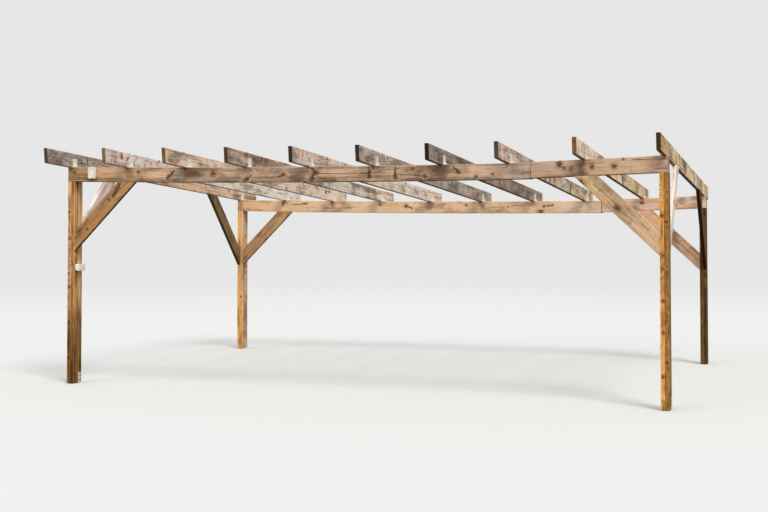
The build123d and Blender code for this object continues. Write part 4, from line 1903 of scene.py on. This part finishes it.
@dataclass
class LightBox:
    """The white box on the front beam: a back shell, a lid with a seam, four lid screws and two cable glands."""

    fixings: Fixings
    gland_reach: float = 0.014
    gland_share: float = 0.3
    lid_depth: float = 0.016
    lid_round: float = 0.0022
    panel_margin: float = 0.010
    panel_depth: float = 0.0012
    seam: float = 0.0014
    wall: float = 0.003
    round: float = 0.006
    window_width: float = 0.034
    window_drop: float = 0.030
    window_height: float = 0.006
    screw_inset: float = 0.0055
    screw_depth: float = 0.0005
    screw_scale: float = 0.75
    finish: PlasticFinish = PlasticFinish()
    steel: SteelFinish = SteelFinish()

    def gland(self, place: Vector) -> Piece:
        """Models one cable gland: a hexagonal nut under the box and a tapered, plugged cap.

        Args:
            place: The middle of its top, on the box's underside.

        Returns:
            The piece.
        """
        nut = Bench.bevelled(Bench.drum("gland_nut", 0.0092, -0.0045, 0.0005, 6), 0.0006, 1)
        cap = Bench.drum("gland_cap", 0.0074, -0.0095, -0.0040, 20)
        Bench.pressed(cap, -UP, (0.0016, 0.0040), (0.0018, -0.0030))
        gland = Bench.joined("gland", [nut, Bench.bevelled(cap, 0.0005, 1)])
        gland.data.transform(Matrix.Translation(place))
        return gland

    def lid(self, low: Vector, high: Vector) -> Piece:
        """Models the lid, with a sunk panel and a narrow window.

        Args:
            low: Lowest corner.
            high: Highest corner.

        Returns:
            The piece.
        """
        lid = Bench.block("light_lid", low, high)
        Bench.pressed(lid, TO_FRONT, (self.panel_margin, -self.panel_depth))
        left = (low.x + high.x - self.window_width) / 2
        bottom = high.z - self.window_drop
        window_low = Vector((left, low.y - 0.01, bottom))
        window_high = Vector((left + self.window_width, low.y + 0.006, bottom + self.window_height))
        Bench.cut(lid, Bench.block("light_window", window_low, window_high))
        return Bench.bevelled(lid, self.lid_round, 2)

    def build(self, nodes: Nodes) -> list[str]:
        """Models the box in place of its CAD node.

        Args:
            nodes: The CAD nodes by name.

        Returns:
            The names of the pieces.
        """
        low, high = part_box("light_box")
        low = low + UP * self.gland_reach
        lid_back = low.y + self.lid_depth
        shell = Bench.block("light_shell", Vector((low.x, lid_back + self.seam, low.z)), high)
        Bench.bevelled(shell, self.round, 3)
        core_low = Vector((low.x + self.wall, lid_back - 0.004, low.z + self.wall))
        core = Bench.block("light_core", core_low, high - Vector((self.wall, 0.01, self.wall)))
        lid = self.lid(low, Vector((high.x, lid_back, high.z)))
        middle = Vector(((low.x + high.x) / 2, (low.y + high.y) / 2, low.z))
        reach = TO_RIGHT * (high.x - low.x) * self.gland_share
        glands = [self.gland(middle - reach), self.gland(middle + reach)]
        lug_low = Vector((low.x + 0.020, high.y - 0.005, high.z - 0.004))
        lug_high = Vector((low.x + 0.040, high.y, high.z + 0.007))
        lug = Bench.bevelled(Bench.block("light_lug", lug_low, lug_high), 0.0015, 2)
        box = Bench.joined("light_box_shell", [shell, core, lug, *glands])
        plastic = self.finish.material("light_box_plastic")
        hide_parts("light_box")
        done = [Bench.delivered(box, plastic, Slot.PLASTIC), Bench.delivered(lid, plastic, Slot.PLASTIC)]
        y, smaller = low.y - self.screw_depth, Matrix.Scale(self.screw_scale, 4)
        places = [
            facing(TO_FRONT, Vector((x, y, z))) @ smaller
            for x in (low.x + self.screw_inset, high.x - self.screw_inset)
            for z in (low.z + self.screw_inset, high.z - self.screw_inset)
        ]
        screws = self.fixings.placed("light_box_screws", Head.SCREW, places)
        done.append(Bench.delivered(screws, self.steel.material("lid_screw_steel"), Slot.GALVANISED))
        return done


@dataclass
class SocketBox:
    """The double outdoor socket on the front left post: a back box and two hinged, spring-held flaps."""

    lid_share: float = 0.42
    gap: float = 0.0025
    round: float = 0.007
    margin: float = 0.002
    seal_margin: float = 0.006
    seal_overlap: float = 0.003
    knuckle_radius: float = 0.0036
    knuckle_reach: float = 0.007
    knuckle_off: float = 0.018
    finish: PlasticFinish = PlasticFinish(colour="fffaf0", aged="fbf2dc", dirt="c9c1ac")

    def flap(self, low: Vector, high: Vector, split: float) -> list[Piece]:
        """Models one spring-held flap and the lip that a finger lifts it by.

        Args:
            low: Lowest corner of its half of the box.
            high: Highest corner of its half of the box.
            split: Where along X the flap begins.

        Returns:
            The flap and its lip.
        """
        panel = 0.002
        lid = Bench.block("socket_lid", Vector((split, low.y, low.z)), high - TO_RIGHT * panel)
        Bench.pressed(lid, TO_RIGHT, (0.009, panel), (0.003, 0.0))
        middle = (low.y + high.y) / 2
        lip_low = Vector((split + 0.004, middle - 0.014, low.z))
        lip = Bench.block("socket_lip", lip_low, Vector((high.x - 0.006, middle + 0.014, low.z + 0.004)))
        return [Bench.bevelled(lid, 0.003, 3), Bench.bevelled(lip, 0.001, 1)]

    def hinge(self, low: Vector, high: Vector, split: float) -> list[Piece]:
        """Models the two knuckles over one flap.

        Args:
            low: Lowest corner of its half of the box.
            high: Highest corner of its half of the box.
            split: Where along X the flap begins.

        Returns:
            The knuckles.
        """
        knuckles = []
        for off in (-self.knuckle_off, self.knuckle_off):
            knuckle = Bench.drum("knuckle", self.knuckle_radius, -self.knuckle_reach, self.knuckle_reach, 16)
            Bench.pressed(knuckle, UP, (0.0012, 0.0), both=True)
            place = Vector((split - self.gap / 2, (low.y + high.y) / 2 + off, high.z - 0.0038))
            knuckle.data.transform(facing(TO_FRONT, place))
            knuckles.append(knuckle)
        return knuckles

    def build(self, nodes: Nodes) -> list[str]:
        """Models the socket in place of its CAD node.

        Args:
            nodes: The CAD nodes by name.

        Returns:
            The names of the pieces.
        """
        low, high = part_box("socket_box")
        split = high.x - (high.x - low.x) * self.lid_share
        seam = split - self.gap
        margin = Vector((0, self.margin, self.margin))
        back = Bench.block("socket_back", low + margin, Vector((seam, high.y, high.z)) - margin)
        inner = Vector((0, self.seal_margin, self.seal_margin))
        seal_low = Vector((seam - self.seal_overlap, low.y, low.z)) + inner
        seal = Bench.block("socket_seal", seal_low, Vector((split + self.seal_overlap, high.y, high.z)) - inner)
        middle = (low.y + high.y) / 2
        halves = {
            "front": (low, Vector((high.x, middle - self.gap / 2, high.z))),
            "rear": (Vector((low.x, middle + self.gap / 2, low.z)), high),
        }
        hinges = [knuckle for half in halves.values() for knuckle in self.hinge(*half, split)]
        pieces = [("socket_back_box", [Bench.bevelled(back, self.round, 3), seal, *hinges])]
        pieces += [(f"socket_flap_{name}", self.flap(*half, split)) for name, half in halves.items()]
        plastic = self.finish.material("socket_plastic")
        done = []
        for name, group in pieces:
            piece = Bench.joined(name, group)
            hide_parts("socket_box")
            done.append(Bench.delivered(piece, plastic, Slot.PLASTIC))
        return done


@dataclass(frozen=True)
class Lamp:
    """A wide, soft lamp far away.

    Attributes:
        name: Its name.
        strength: Its strength.
        source: The direction that its light comes from.
        spread: How wide it looks, in degrees.
        colour: Its colour.
    """

    name: str
    strength: float
    source: Tint
    spread: float
    colour: Tint


@dataclass(frozen=True)
class Studio:
    """The camera at the photograph's viewing angle, the lamps, the sky light and the pale floor."""

    camera_place: tuple[float, float, float] = (4.896, -15.142, 1.811)
    camera_turn: tuple[float, float, float] = (91.84, 0.02, 19.06)
    lens: float = 58.34
    shift_y: float = -0.085
    sight: float = 400.0
    lamps: tuple[Lamp, ...] = (
        Lamp("key", 1.9, (0.55, -0.55, 1.0), 22.0, (1.0, 0.97, 0.93)),
        Lamp("fill", 0.8, (-0.5, -0.85, 0.6), 50.0, (0.97, 0.98, 1.0)),
    )
    sky_colour: Colour = (0.95, 0.98, 1.0, 1.0)
    sky_strength: float = 0.72
    backdrop: str = "e6e7e6"
    floor_seen: str = "d8d8d6"
    floor_bounce: str = "65645e"
    floor_radius: float = 150.0
    floor_fade: tuple[float, float] = (7.0, 30.0)

    def place_camera(self) -> None:
        """Puts the camera where the photograph was taken from."""
        data = bpy.data.cameras.new("camera")
        data.lens = self.lens
        data.sensor_width = 36.0
        data.shift_y = self.shift_y
        data.clip_end = self.sight
        camera = bpy.data.objects.new("camera", data)
        camera.location = self.camera_place
        camera.rotation_euler = [math.radians(a) for a in self.camera_turn]
        bpy.context.scene.collection.objects.link(camera)
        bpy.context.scene.camera = camera

    def hang_lamps(self) -> None:
        """Adds the soft lamps."""
        for lamp in self.lamps:
            data = bpy.data.lights.new(lamp.name, "SUN")
            data.energy = lamp.strength
            data.angle = math.radians(lamp.spread)
            data.color = lamp.colour
            light = bpy.data.objects.new(lamp.name, data)
            light.rotation_euler = Vector(lamp.source).to_track_quat("Z", "Y").to_euler()
            bpy.context.scene.collection.objects.link(light)

    def light_sky(self) -> None:
        """Adds an even sky, which looks like the backdrop to the camera and in gloss."""
        world = bpy.data.worlds.new("studio")
        bpy.context.scene.world = world
        g = Graph(world, "OutputWorld")
        shown = g.add("Background", srgb(self.backdrop))
        sky = g.add("Background", self.sky_colour, self.sky_strength)
        path = g.add("LightPath")
        seen = g.math("MAXIMUM", path.outputs["Is Camera Ray"], path.outputs["Is Glossy Ray"])
        mix = g.add("MixShader", seen, sky.outputs[0], shown.outputs[0])
        g.feed(g.output.inputs[0], mix.outputs[0])

    def lay_floor(self) -> None:
        """Lays a large floor that fades into the backdrop."""
        Bench.clear()
        bpy.ops.mesh.primitive_circle_add(vertices=96, radius=self.floor_radius, fill_type="NGON", location=(0, 0, 0))
        floor = bpy.context.object
        floor.name = "floor"
        g = Graph(bpy.data.materials.new("floor"))
        camera_ray = g.add("LightPath").outputs["Is Camera Ray"]
        shade = g.add("BsdfDiffuse", g.mixed(camera_ray, srgb(self.floor_bounce), srgb(self.floor_seen)))
        glow = g.add("Emission", srgb(self.backdrop))
        x, y, _ = g.split(g.coordinates())
        far = g.vector_math("LENGTH", g.joined(x, y, 0.0))
        fade = g.product(g.ramp(far, *self.floor_fade), camera_ray)
        mix = g.add("MixShader", fade, shade.outputs[0], glow.outputs[0])
        g.feed(g.output.inputs["Surface"], mix.outputs[0])
        Bench.painted(floor, g.owner)

    def build(self) -> None:
        """Sets the whole studio up."""
        self.place_camera()
        self.hang_lamps()
        self.light_sky()
        self.lay_floor()
        bpy.context.scene.view_settings.view_transform = "Standard"


def main() -> None:
    """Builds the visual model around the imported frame."""
    logging.basicConfig(level=logging.INFO, format="%(name)s: %(message)s")
    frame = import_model()
    Studio().build()
    fixings, beams, braces = Fixings(), Beams(), Braces()
    assemblies = (
        Posts(),
        beams,
        Rafters(),
        braces,
        Feet(fixings),
        Angles(fixings, beams),
        Nails(fixings, beams, braces),
        LightBox(fixings),
        SocketBox(),
    )
    for assembly in assemblies:
        for name in assembly.build(frame["nodes"]):
            LOG.info("%s: %s", type(assembly).__name__, name)
    fixings.put_away()


if __name__ == "__main__":
    main()
